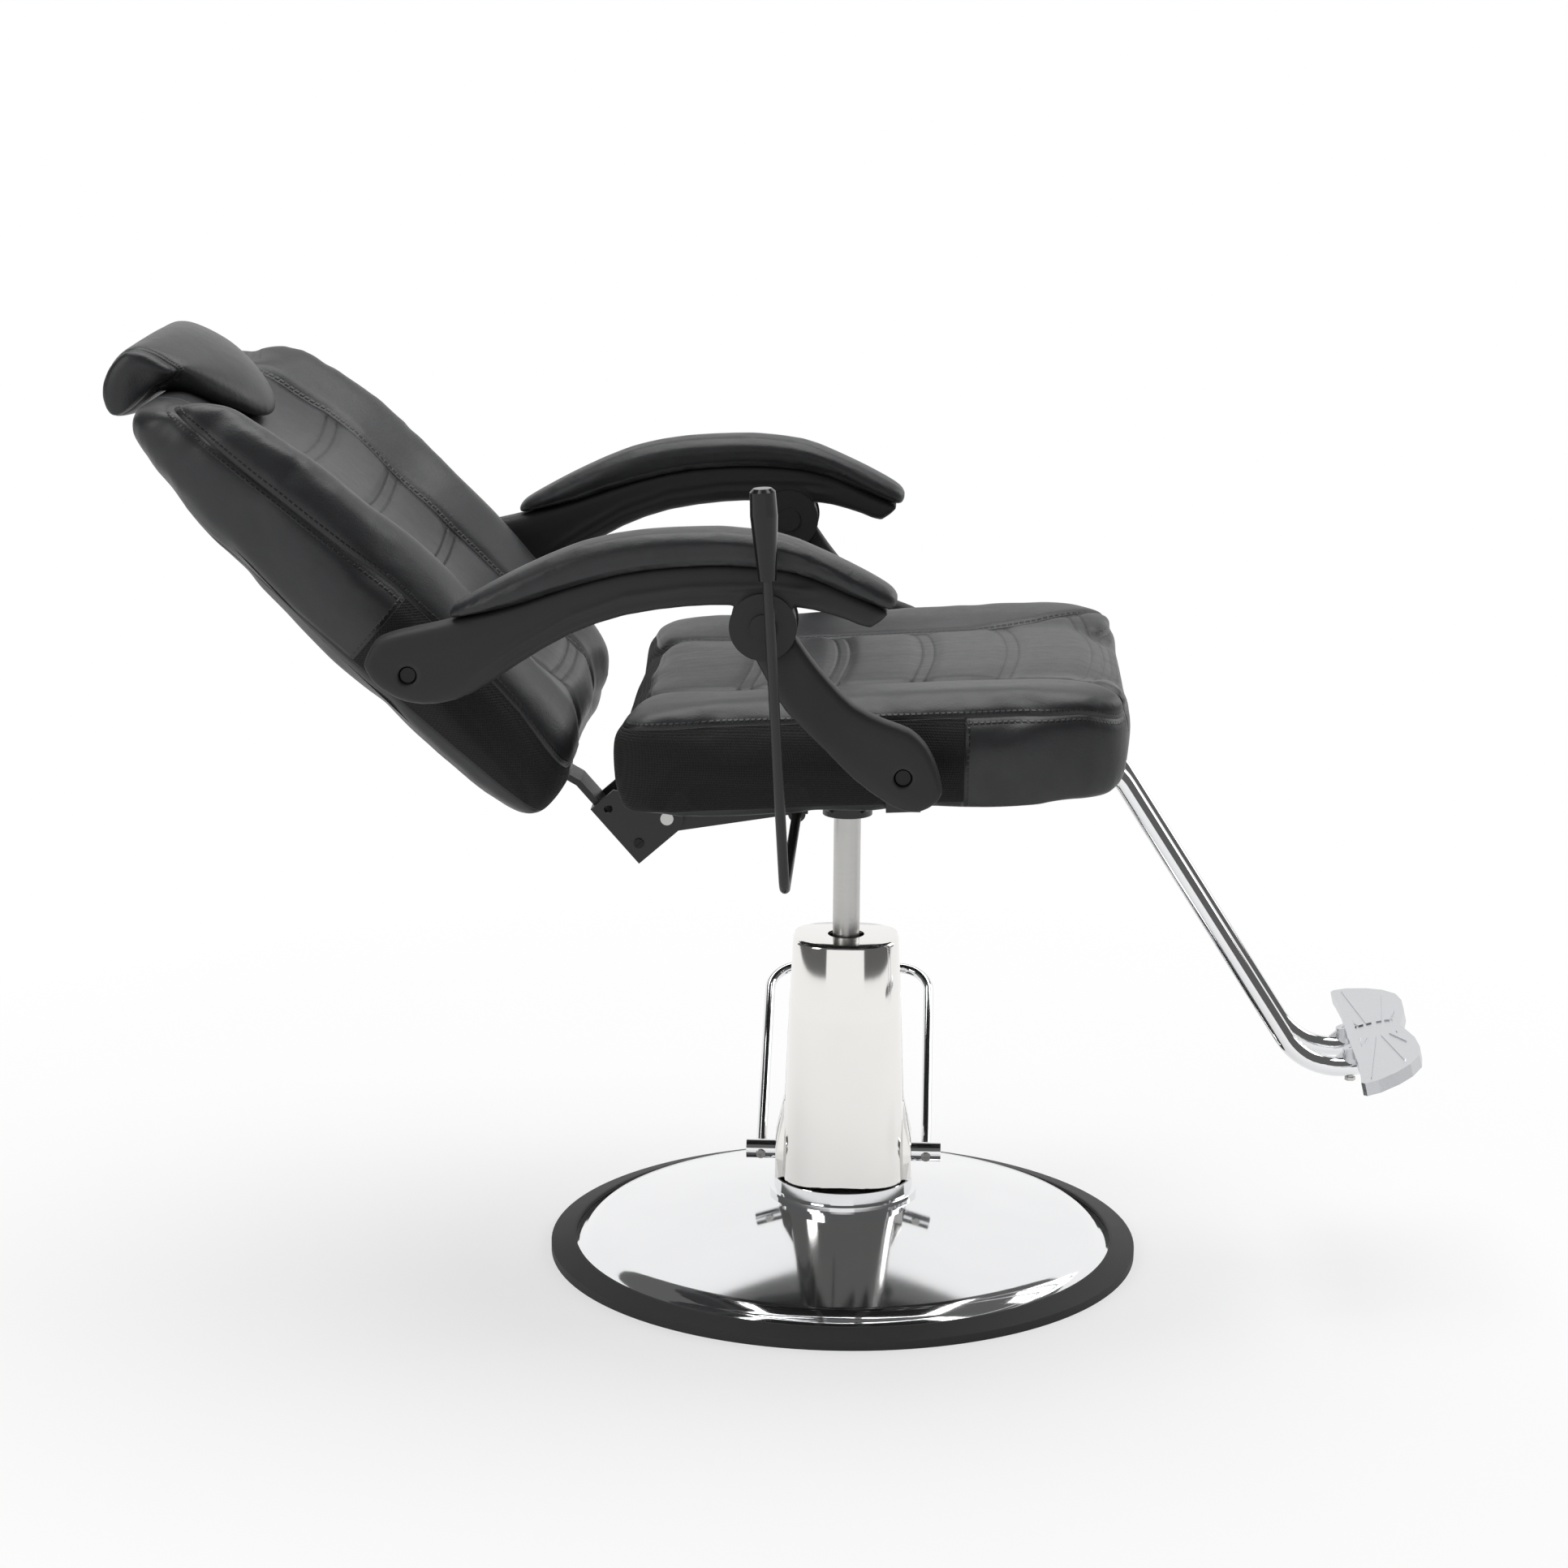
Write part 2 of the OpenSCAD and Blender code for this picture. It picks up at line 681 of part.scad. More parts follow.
module base_bolt_holes(z, h) {
  for (i = [0 : base_bolt_count - 1])
    rotate([0, 0, 45 + i * 360 / base_bolt_count])
      translate([base_bolt_pcd / 2, 0, z])
        cylinder(h = h, r = base_bolt_r + hole_fit, $fn = small_fn);
}

module base_spider() {
  plate_top = disc_h - disc_t - gap;
  color(raw_steel) difference() {
    union() {
      translate([0, 0, plate_top - spider_t])
        cylinder(h = spider_t, r = disc_hub_r - over);
      for (i = [0 : spider_ribs - 1])
        rotate([90, 0, i * 360 / spider_ribs])
          linear_extrude(height = spider_t, center = true)
            polygon([
              [spider_inner_r, plate_top - spider_t / 2],
              [disc_hub_r - 2 * over, plate_top - spider_t / 2],
              [spider_outer_r, dome_z(spider_outer_r) - disc_t - over],
              [spider_outer_r, spider_foot_z],
              [spider_outer_r - spider_foot_w, spider_foot_z],
              [disc_hub_r, plate_top - 4 * spider_t],
              [spider_inner_r, plate_top - 4 * spider_t]]);
    }
    translate([0, 0, plate_top - spider_t - over])
      cylinder(h = spider_t + 2 * over, r = spider_inner_r - spider_t);
    base_bolt_holes(plate_top - spider_t - over, spider_t + 2 * over);
  }
}

module base_bolts() {
  plate_bottom = disc_h - disc_t - gap - spider_t;
  color(zinc_plate)
    for (i = [0 : base_bolt_count - 1])
      rotate([0, 0, 45 + i * 360 / base_bolt_count])
        translate([base_bolt_pcd / 2, 0, 0]) {
          translate([0, 0, plate_bottom - base_bolt_head_h])
            cylinder(h = flange_top_z - plate_bottom + base_bolt_head_h,
                 r = base_bolt_r, $fn = small_fn);
          translate([0, 0, flange_top_z])
            cylinder(h = base_bolt_head_h, r = base_bolt_head_r, $fn = 6);
          translate([0, 0, plate_bottom - base_bolt_head_h])
            cylinder(h = base_bolt_head_h, r = base_bolt_head_r, $fn = 6);
        }
}

// Pump
module pump_block() {
  color(black_paint) difference() {
    union() {
      translate([0, 0, disc_h]) cylinder(h = flange_t, r = flange_r);
      translate([0, 0, disc_h]) cylinder(h = block_top_z - disc_h, r = block_r);
      translate([0, 0, pedal_z]) rotate([0, 90, 0])
        cylinder(h = 2 * boss_half_w, r = boss_r, center = true);
    }
    base_bolt_holes(disc_h - over, flange_t + 2 * over);
    translate([0, 0, pedal_z]) rotate([0, 90, 0])
      cylinder(h = 2 * boss_half_w + 2 * over, r = pedal_shaft_d / 2 + run_fit,
           center = true);
  }
}

module pump_cylinder() {
  color(raw_steel) difference() {
    translate([0, 0, block_top_z])
      cylinder(h = cylinder_top_z - block_top_z, d = cylinder_d);
    translate([0, 0, block_top_z - over])
      cylinder(h = cylinder_top_z - block_top_z + 2 * over, d = cylinder_bore);
  }
}

module pump_gland() {
  color(bright_steel) difference() {
    union() {
      translate([0, 0, cylinder_top_z]) cylinder(h = gland_t, d = cylinder_d);
      translate([0, 0, cylinder_top_z - gland_collar])
        cylinder(h = gland_collar, d = cylinder_bore - 2 * hole_fit);
    }
    translate([0, 0, cylinder_top_z - gland_collar - over])
      cylinder(h = gland_t + gland_collar + 2 * over, r = rod_r + run_fit);
  }
}

// One level section of the shroud, given its half width and height
function shroud_section(half_w, z, inset) = [
  for (p = soft_box(half_w - inset, half_w * shroud_depth_share - inset,
           shroud_square_share, 44))
    [p.x, p.y, z]];
module shroud_body(inset, z_low, z_high) {
  foot_half = shroud_foot_w / 2;
  top_half = shroud_top_w / 2;
  edge_z = shroud_top_z - shroud_edge;
  levels = [for (share = shroud_level_shares) flange_top_z + (edge_z - flange_top_z) * share];
  function half_at(z) = foot_half - (foot_half - top_half)
    * pow((z - flange_top_z) / (shroud_top_z - flange_top_z), shroud_bow_share);
  loft(concat(
    [shroud_section(half_at(flange_top_z), z_low, inset)],
    [for (i = [1 : len(levels) - 1]) shroud_section(half_at(levels[i]), levels[i], inset)],
    [shroud_section(half_at(edge_z), z_high - shroud_edge, inset),
     shroud_section(half_at(shroud_top_z) - shroud_edge_soft,
            z_high - shroud_edge_soft, inset),
     shroud_section(half_at(shroud_top_z) - shroud_edge, z_high, inset)]));
}
module shroud_lobes(inset, z_low) {
  hull() {
    for (z = [z_low, pedal_z])
      translate([0, 0, z]) rotate([0, 90, 0])
        cylinder(h = 2 * (lobe_half_w - inset), r = lobe_r - inset, center = true,
             $fn = small_fn);
    translate([0, 0, lobe_top_z - lobe_top_r]) rotate([0, 90, 0])
      cylinder(h = 2 * (lobe_half_w - lobe_top_r - inset), r = lobe_top_r - inset,
           center = true, $fn = small_fn);
  }
}
module pump_shroud() {
  color(chrome_plate) difference() {
    union() {
      shroud_body(0, flange_top_z, shroud_top_z);
      intersection() {
        shroud_lobes(0, shroud_foot_z);
        translate([-base_r, -base_r, shroud_foot_z]) cube([base_d, base_d, base_r]);
      }
    }
    shroud_body(shroud_t, flange_top_z - over, shroud_top_z - shroud_t);
    shroud_lobes(shroud_t, shroud_foot_z - over);
    translate([0, 0, shroud_top_z - shroud_t - over])
      cylinder(h = shroud_t + 2 * over, r = shroud_hole_r);
    translate([0, 0, pedal_z]) rotate([0, 90, 0])
      cylinder(h = 2 * (lobe_half_w + over), r = pedal_shaft_d / 2 + over, center = true);
  }
}

module shroud_ring() {
  inner = flange_r + gap;
  color(chrome_plate) rotate_extrude($fn = 128) polygon([
    [inner, disc_h],
    [shroud_ring_r, disc_h],
    [shroud_ring_r, disc_h + shroud_ring_mid],
    [shroud_ring_r - over / 2, disc_h + shroud_ring_mid + over / 2],
    [shroud_ring_r - shroud_ring_step, disc_h + shroud_ring_mid + over],
    [shroud_ring_r - shroud_ring_step, shroud_foot_z],
    [inner, shroud_foot_z]]);
}

// Pump pedal
module pedal_shaft() {
  color(bright_steel) difference() {
    translate([0, 0, pedal_z]) rotate([0, 90, 0])
      cylinder(h = pedal_w + collar_len - 2 * shaft_end_inset, d = pedal_shaft_d,
           center = true);
    pedal_screw_holes(collar_r);
  }
}
module at_pedal_legs() {
  for (side = [-1, 1]) translate([side * pedal_w / 2, 0, pedal_z]) children();
}
module pedal_screw_holes(depth) {
  at_pedal_legs() rotate([90 + pedal_screw_drop, 0, 0])
    cylinder(h = depth + over, r = pedal_screw_r + gap / 2, $fn = small_fn);
}
module at_pedal_screws(out) {
  at_pedal_legs() rotate([90 + pedal_screw_drop, 0, 0]) translate([0, 0, out]) children();
}
module pedal_collars() {
  color(chrome_plate) difference() {
    at_pedal_legs() rotate([0, 90, 0]) cylinder(h = collar_len, r = collar_r, center = true);
    at_pedal_legs() rotate([0, 90, 0])
      cylinder(h = collar_len + 2 * over, r = collar_bore_r, center = true);
    at_pedal_legs() rotate([pedal_slope - 90, 0, 0])
      cylinder(h = collar_r + over, d = pedal_bar_d + 2 * hole_fit);
    pedal_screw_holes(collar_r);
    at_pedal_screws(collar_r - pedal_screw_sink)
      cylinder(h = pedal_screw_head_h, r = pedal_screw_head_r + gap);
  }
}
module pedal_screws() {
  head_out = collar_r - pedal_screw_sink;
  color(raw_steel) {
    at_pedal_screws(pedal_screw_r)
      cylinder(h = head_out - pedal_screw_r, r = pedal_screw_r, $fn = small_fn);
    difference() {
      at_pedal_screws(head_out)
        cylinder(h = pedal_screw_head_h, r = pedal_screw_head_r, $fn = small_fn);
      for (turn = [0, 90])
        at_pedal_screws(head_out + pedal_screw_head_h - over / 2) rotate([0, 0, turn])
          cube([pedal_screw_head_r, over, over], center = true);
    }
  }
}
module pedal_bar() {
  leg_start = collar_bore_r + gap;
  half = pedal_w / 2;
  color(chrome_plate) translate([0, 0, pedal_z]) rotate([pedal_slope, 0, 0])
    bent_bar([[-half, leg_start], [-half, pedal_len], [half, pedal_len], [half, leg_start]],
         [0, pedal_bend_r, pedal_bend_r, 0], pedal_bar_d);
}

// Ram
module piston_head() {
  head_r = cylinder_bore / 2 - run_fit;
  color(raw_steel) difference() {
    translate([0, 0, head_z]) cylinder(h = head_h, r = head_r);
    translate([0, 0, head_z + head_h / 2])
      cylinder(h = head_h, r = spigot_r + run_fit);
    for (share = seal_shares)
      translate([0, 0, head_z + head_h * share]) difference() {
        cylinder(h = seal_h, r = head_r + over);
        translate([0, 0, -over])
          cylinder(h = seal_h + 2 * over, r = head_r - seal_depth);
      }
  }
}
module piston_seals() {
  head_r = cylinder_bore / 2 - run_fit;
  color(dark_rubber)
    for (share = seal_shares)
      translate([0, 0, head_z + head_h * share + gap / 2]) difference() {
        cylinder(h = seal_h - gap, r = head_r);
        translate([0, 0, -over])
          cylinder(h = seal_h + 2 * over, r = head_r - seal_depth + gap / 2);
      }
}
module piston_rod() {
  spigot_z = head_z + head_h / 2 + gap;
  shoulder_z = head_z + head_h + gap;
  color(bright_steel) {
    translate([0, 0, spigot_z]) cylinder(h = shoulder_z - spigot_z, r = spigot_r);
    translate([0, 0, shoulder_z])
      cylinder(h = socket_bottom_z + socket_depth - shoulder_z, r = rod_r);
  }
}

// Seat support
socket_turn = atan2(rail_gap / 2, socket_bolt_x);
module at_socket_bolts() {
  for (x = [-1, 1], y = [-1, 1])
    translate([x * socket_bolt_x, y * rail_gap / 2, 0]) children();
}
module socket_outline() {
  circle(r = socket_disc_r);
  for (side = [-1, 1]) hull() {
    for (end = [-1, 1])
      translate([end * socket_bolt_x, end * side * rail_gap / 2])
        circle(r = rail_w / 2 - gap, $fn = small_fn);
  }
}
module socket_ribs() {
  for (turn = [socket_turn, 180 - socket_turn, 180 + socket_turn, -socket_turn])
    rotate([90, 0, turn])
      linear_extrude(height = socket_rib_t, center = true)
        polygon([
          [socket_r - over, socket_bottom_z + socket_rib_t],
          [socket_r + over, socket_bottom_z + socket_rib_t],
          [socket_rib_r, socket_plate_z - over],
          [socket_rib_r, socket_plate_z + over],
          [socket_r - over, socket_plate_z + over]]);
}
module seat_socket() {
  color(black_paint) difference() {
    union() {
      translate([0, 0, socket_bottom_z]) cylinder(h = socket_h + over, r = socket_r);
      translate([0, 0, socket_plate_z])
        linear_extrude(height = socket_plate_t) socket_outline();
      socket_ribs();
    }
    translate([0, 0, socket_bottom_z - over])
      cylinder(h = socket_depth + over + gap, r = rod_r + hole_fit / 2);
    at_socket_bolts() translate([0, 0, socket_plate_z - over])
      cylinder(h = socket_plate_t + 2 * over, r = socket_bolt_r + hole_fit, $fn = small_fn);
  }
}
module socket_bolts() {
  color(zinc_plate) at_socket_bolts() {
    translate([0, 0, socket_plate_z - socket_bolt_head_h])
      cylinder(h = socket_bolt_head_h, r = socket_bolt_head_r, $fn = 6);
    translate([0, 0, socket_plate_z])
      cylinder(h = socket_plate_t + socket_bolt_reach, r = socket_bolt_r,
           $fn = small_fn);
  }
}

// Box tube along X or Y, open at both ends
module box_tube(length, width, height, wall) {
  difference() {
    cube([length, width, height], center = true);
    cube([length + 2 * over, width - 2 * wall, height - 2 * wall], center = true);
  }
}
module seat_frame() {
  rail_len = rail_front - rail_rear;
  color(black_paint) difference() {
    union() {
      in_seat() {
        for (side = [-1, 1])
          translate([(rail_front + rail_rear) / 2, side * rail_gap / 2, -rail_h / 2])
            box_tube(rail_len, rail_w, rail_h, rail_wall);
        for (x = [-cross_rail_x, cross_rail_x])
          translate([x, 0, -rail_h / 2]) rotate([0, 0, 90])
            box_tube(2 * rail_inner_y, rail_w, rail_h, rail_wall);
      }
      saddles();
    }
    at_socket_bolts() translate([0, 0, socket_top_z - over])
      cylinder(h = socket_bolt_reach + over + gap, r = socket_bolt_r + hole_fit,
           $fn = small_fn);
  }
}
// Level pads between the socket's plate and the rails, up to the middle of the rails' wall
module saddles() {
  intersection() {
    at_socket_bolts() translate([0, 0, socket_top_z])
      cylinder(h = rail_h, r = rail_w / 2 - gap);
    in_seat() translate([-rail_front, -rail_gap, rail_wall / 2 - seat_z])
      cube([2 * rail_front, 2 * rail_gap, seat_z - rail_h]);
  }
}

// Plan of the seat board, let out by the given amount
module board_plan(grow) {
  half = seat_board_half_w - seat_board_corner;
  difference() {
    translate([seat_board_rear + seat_board_corner, -half])
      offset(r = seat_board_corner + grow)
        square([seat_board_front - seat_board_rear - 2 * seat_board_corner, 2 * half]);
    translate([seat_board_rear - seat_board_corner, -seat_notch_half_w + grow])
      square([seat_notch_x - seat_board_rear + seat_board_corner - grow,
          2 * seat_notch_half_w - 2 * grow]);
  }
}
module seat_board() {
  color(plywood) in_seat() linear_extrude(height = board_t) board_plan(0);
}

// One section across the seat cushion
function seat_ring(row) = [
  for (p = mirrored(seat_round_shares))
    [seat_rear + seat_len * row[0],
     p.x * seat_half_w * row[1],
     seat_t * (row[2] + (row[3] - row[2]) * p.y)]];
module seat_cushion() {
  color(black_leather) difference() {
    in_seat() loft([for (row = smooth(seat_shares, 2)) seat_ring(row)]);
    in_seat() translate([0, 0, -over])
      linear_extrude(height = board_t + over + gap) board_plan(gap);
    for (side = [-1, 1]) {
      strut_ear(side, gap);
      cross_pin(foot.x, foot.y, foot_spacer_r + gap, seat_half_w - crossbar_half_w + over
           + crossbar_t, side * (seat_half_w + crossbar_half_w) / 2);
      cross_pin(foot.x, foot.y, nut_r + gap, nut_t + crossbar_t + gap,
           side * (crossbar_half_w - (nut_t + crossbar_t + gap) / 2));
    }
  }
}

// Brackets that carry the struts' lower bolts, welded to the rails' outer sides
module strut_ear(side, grow) {
  ear_y = crossbar_half_w - crossbar_t / 2;
  low = seat_under(foot.x) - crossbar_t;
  half = crossbar_w / 2 + grow;
  upright(side * ear_y + crossbar_t / 2 + grow)
    linear_extrude(height = crossbar_t + 2 * grow) {
      translate([foot.x, foot.y]) circle(r = half);
      translate([foot.x - half, low]) square([2 * half, foot.y - low]);
    }
}
module strut_crossbar() {
  length = crossbar_half_w - rail_outer_y;
  color(black_paint) difference() {
    for (side = [-1, 1]) {
      translate([foot.x, side * (rail_outer_y + length / 2),
            seat_under(foot.x) - crossbar_t / 2 - gap])
        rotate([0, -seat_tilt, 0])
          cube([crossbar_w, length, crossbar_t], center = true);
      strut_ear(side, 0);
    }
    cross_pin(foot.x, foot.y, arm_pin_r + hole_fit, arm_gap);
  }
}
module strut_bolts() {
  head_y = arm_y + strut_t / 2 - plug_depth + gap;
  in_y = crossbar_half_w - crossbar_t - nut_t;
  spacer_y = arm_y - strut_t / 2 - gap;
  color(zinc_plate) for (side = [-1, 1]) {
    cross_pin(foot.x, foot.y, arm_pin_r, head_y - in_y, side * (head_y + in_y) / 2);
    cross_pin(foot.x, foot.y, bolt_head_r, bolt_head_h, side * (head_y + bolt_head_h / 2));
    cross_pin(foot.x, foot.y, nut_r, nut_t, side * (in_y + nut_t / 2), $fn = 6);
    cross_pin(foot.x, foot.y, foot_spacer_r, spacer_y - crossbar_half_w,
         side * (spacer_y + crossbar_half_w) / 2);
  }
}

// Recline hinge
horn = from_pin(horn_x, horn_z, channel_tilt);
lock_way = unit(horn - [lock_x, lock_z]);
lock_angle = atan2(lock_way.y, lock_way.x);
module at_lock() {
  translate([lock_x, 0, lock_z]) rotate([0, -lock_angle, 0]) children();
}
function rail_under(x) = seat_under(x) - rail_h / cos(seat_tilt);
module hinge_bracket() {
  color(black_paint) difference() {
    union() {
      for (side = [-1, 1])
        upright(side * (ear_half_w - ear_t / 2) + ear_t / 2)
          linear_extrude(height = ear_t) {
            translate([-pivot_back, pivot_z]) circle(r = ear_r);
            polygon([
              [-pivot_back, pivot_z + ear_r],
              [-pivot_back, pivot_z - ear_r],
              [ear_front_x, ear_front_z],
              [ear_front_x, rail_under(ear_front_x)],
              [ear_top_x, rail_under(ear_top_x)],
              [ear_rise_x, pivot_z + ear_rise]]);
          }
      in_seat() translate([ear_web_x, -ear_half_w, -rail_h - ear_t])
        cube([ear_front_x - ear_web_x, 2 * ear_half_w, ear_t]);
    }
    cross_pin(-pivot_back, pivot_z, pin_r + hole_fit / 2, 2 * channel_half_w);
    cross_pin(lock_x, lock_z, lock_trunnion_r + run_fit, 2 * channel_half_w);
  }
}
module recline_pin() {
  color(zinc_plate) cross_pin(-pivot_back, pivot_z, pin_r, 2 * (channel_half_w + pin_out));
}
// Both sides of the channel, for holes and fasteners
module channel_screw(r, inner, outer) {
  for (side = [-1, 1])
    cross_pin(channel_hole_x, channel_screw_z, r, outer - inner, side * (inner + outer) / 2);
}
module back_channel() {
  color(raw_steel) in_channel() difference() {
    upright(channel_half_w) linear_extrude(height = 2 * channel_half_w) hull() {
      circle(r = channel_round);
      translate([-channel_deep, -channel_below])
        square([channel_deep, channel_below]);
      translate([-channel_deep, -channel_below])
        square([channel_edge, channel_below + channel_above]);
    }
    translate([channel_t - channel_deep, channel_t - channel_half_w, -channel_above])
      cube([2 * channel_deep, 2 * (channel_half_w - channel_t), 3 * channel_above]);
    cross_pin(0, 0, pin_r + run_fit, 3 * channel_half_w);
    cross_pin(channel_hole_x, channel_hole_z, channel_hole_r, 3 * channel_half_w);
    cross_pin(horn_x, horn_z, lock_pin_r + hole_fit / 2, 3 * channel_half_w);
    channel_screw(channel_screw_r + hole_fit, 0, 2 * channel_half_w);
    translate([-channel_deep, 0, channel_bolt_z]) rotate([0, 90, 0])
      cylinder(h = 3 * channel_t, r = channel_bolt_r + hole_fit, center = true,
           $fn = small_fn);
  }
}
module channel_screws() {
  inner = channel_half_w - channel_t;
  color(zinc_plate) in_channel() {
    difference() {
      union() {
        channel_screw(channel_screw_r, bar_w / 2 + gap, channel_half_w);
        channel_screw(channel_screw_head_r, channel_half_w,
               channel_half_w + channel_screw_head_t);
      }
      for (side = [-1, 1])
        translate([channel_hole_x, side * (channel_half_w + channel_screw_head_t),
              channel_screw_z])
          cube([2 * channel_screw_head_r + over, slot_w, slot_w], center = true);
    }
    cross_pin(horn_x, horn_z, lock_pin_r, 2 * channel_half_w + over);
    translate([-channel_deep - channel_bolt_head_h, 0, channel_bolt_z]) rotate([0, 90, 0])
      cylinder(h = channel_bolt_head_h, r = channel_bolt_head_r, $fn = 6);
    translate([-channel_deep, 0, channel_bolt_z]) rotate([0, 90, 0])
      cylinder(h = channel_t + bar_t, r = channel_bolt_r, $fn = small_fn);
  }
}

// Lock between the seat and the back: a barrel on the seat grips a rod from the back
module lock_barrel() {
  length = lock_barrel_rear + lock_barrel_front;
  color(black_paint) at_lock() difference() {
    union() {
      translate([-lock_barrel_front, 0, 0]) rotate([0, 90, 0])
        cylinder(h = length, r = lock_barrel_r);
      cross_pin(0, 0, lock_trunnion_r, 2 * ear_half_w);
    }
    translate([-lock_barrel_front - over, 0, 0]) rotate([0, 90, 0])
      cylinder(h = length + 2 * over, r = lock_rod_r + run_fit);
  }
}
module lock_rod() {
  reach = norm(horn - [lock_x, lock_z]);
  eye_bore = lock_pin_r + lock_slack;
  color(bright_steel) at_lock() difference() {
    union() {
      translate([lock_rod_inner, 0, 0]) rotate([0, 90, 0])
        cylinder(h = reach - lock_rod_inner - eye_bore, r = lock_rod_r);
      cross_pin(reach, 0, eye_bore + lock_eye_wall, lock_eye_t);
    }
    cross_pin(reach, 0, eye_bore, lock_eye_t + 2 * over);
  }
}

// Recline lever
module lever_bracket() {
  color(black_paint) difference() {
    upright(lever_plate_t / 2 - lever_plate_y) linear_extrude(height = lever_plate_t) {
      translate([lever_x, lever_z]) circle(r = lever_boss_r);
      translate([lever_x - lever_boss_r, lever_z])
        square([lever_boss_r + lever_plate_half, socket_plate_z - lever_z]);
    }
    cross_pin(lever_x, lever_z, lever_d / 2 + run_fit, 2 * lever_plate_t, -lever_plate_y);
  }
}
// Frame of the lever: +X runs out along its shaft, and +Y up its handle
module at_lever() {
  translate([lever_x, 0, lever_z]) rotate([0, -lever_lean, 0]) rotate([90, 0, -90])
    children();
}
module lever_rod() {
  color(black_paint) {
    at_lever()
      bent_bar([[lever_inner_y, 0], [lever_out, 0], [lever_out, lever_h - grip_cap]],
           [0, lever_bend_r, 0], lever_d);
    upright(-lever_inner_y) difference() {
      linear_extrude(height = crank_t) translate([lever_x, lever_z]) {
        circle(r = crank_r);
        translate([-crank_r / 2, 0]) square([crank_r, crank_len]);
        translate([0, crank_len]) circle(r = crank_r / 2, $fn = small_fn);
      }
      translate([lever_x, lever_z + crank_len, -over])
        cylinder(h = crank_t + 2 * over, r = crank_hole_r, $fn = small_fn);
    }
  }
}
module lever_grip() {
  base = lever_h - grip_len;
  color(black_plastic) at_lever() translate([lever_out, 0, 0]) rotate([-90, 0, 0])
    difference() {
      rotate_extrude() polygon([
        [0, base],
        [grip_end_r, base],
        [(grip_end_r + grip_mid_r) / 2, base + grip_len / 3],
        [grip_mid_r, base + grip_len * grip_mid_share],
        [grip_top_r, lever_h - grip_edge],
        [grip_top_r - grip_edge, lever_h],
        [0, lever_h]]);
      cylinder(h = lever_h - grip_cap + gap, r = lever_d / 2 + run_fit);
    }
}

// Footrest
// Both footrest tubes as solid bars of the given radius, let out at their ends
module foot_bars(r, longer) {
  rear = [foot_tube_rear_x, seat_under(foot_tube_rear_x) + foot_line_z];
  knee = [foot_knee_x, foot_knee_z];
  low = [foot_low_x, foot_low_z];
  front = [foot_tube_front_x, foot_low_z + foot_rise];
  route = [rear - longer * unit(knee - rear), knee, low, front + longer * unit(front - low)];
  for (side = [-1, 1]) translate([0, side * foot_tube_gap / 2, 0])
    loft(route_rings(route, [0, foot_knee_r, foot_bend_r, 0], r));
}
module footrest_tubes() {
  color(chrome_plate) difference() {
    foot_bars(foot_tube_d / 2, 0);
    foot_bars(foot_tube_d / 2 - foot_tube_wall, over);
    foot_screw_holes();
  }
}
module footrest_clamp() {
  length = 2 * rail_outer_y;
  color(black_paint) in_seat() for (x = clamp_places) {
    translate([x - clamp_w / 2, -length / 2, -rail_h - clamp_t])
      cube([clamp_w, length, clamp_t]);
    for (side = [-1, 1])
      translate([x, side * rail_gap / 2, -rail_h - clamp_t - clamp_bolt_head_h])
        cylinder(h = clamp_bolt_head_h + over, r = clamp_bolt_head_r, $fn = 6);
  }
}
module at_footplate() {
  translate([footplate_x, 0, footplate_z]) rotate([0, -footplate_tilt, 0]) children();
}
module footplate_outline() {
  polygon([for (p = mirrored([for (q = footplate_shares) [q.y, q.x]]))
    [p.y * footplate_len, p.x * footplate_w / 2]]);
}
// Ribs that run out from the oval in the middle of the plate to its ends
module foot_ribs() {
  oval = footplate_len * foot_oval_share;
  for (side = [0, 180], angle = foot_rib_angles)
    rotate([0, 0, side + 90]) translate([0, oval * sin(angle) * foot_oval_squash_share])
      rotate([0, 0, angle / 2])
        polygon([[oval, -foot_rib_w / 2], [oval, foot_rib_w / 2], [footplate_w / 2, 0]]);
}
module footplate() {
  tube_top = foot_boss_z + foot_tube_d / 2;
  rear_x = footplate_x - footplate_len / 2 + footplate_rim_t;
  color(chrome_plate) difference() {
    union() {
      for (side = [-1, 1])
        upright(side * foot_tube_gap / 2 + foot_gusset_t / 2)
          linear_extrude(height = foot_gusset_t)
            polygon([
              [rear_x - foot_gusset_len, tube_top - foot_rise / 2],
              [rear_x + footplate_rim_t, tube_top - foot_rise],
              [rear_x + footplate_rim_t, tube_top + foot_rise],
              [rear_x, tube_top + foot_rise]]);
      at_footplate() {
        translate([0, 0, -footplate_t])
          linear_extrude(height = footplate_t) footplate_outline();
        translate([0, 0, -footplate_rim_h]) linear_extrude(height = footplate_rim_h)
          difference() {
            footplate_outline();
            offset(delta = -footplate_rim_t) footplate_outline();
          }
        linear_extrude(height = foot_rib_h) intersection() {
          offset(delta = -foot_rib_inset) footplate_outline();
          foot_ribs();
        }
      }
      for (side = [-1, 1]) intersection() {
        translate([foot_boss_x, side * foot_tube_gap / 2, foot_boss_z])
          cylinder(h = footplate_z - foot_boss_z, r = foot_boss_r);
        at_footplate() translate([-footplate_w, -footplate_w, -footplate_w - over])
          cube([2 * footplate_w, 2 * footplate_w, footplate_w]);
      }
    }
    foot_bars((foot_tube_d + gap) / 2, foot_boss_r);
    foot_screw_holes();
  }
}
foot_boss_x = foot_tube_front_x - foot_boss_back;
foot_boss_z = foot_low_z + foot_rise;
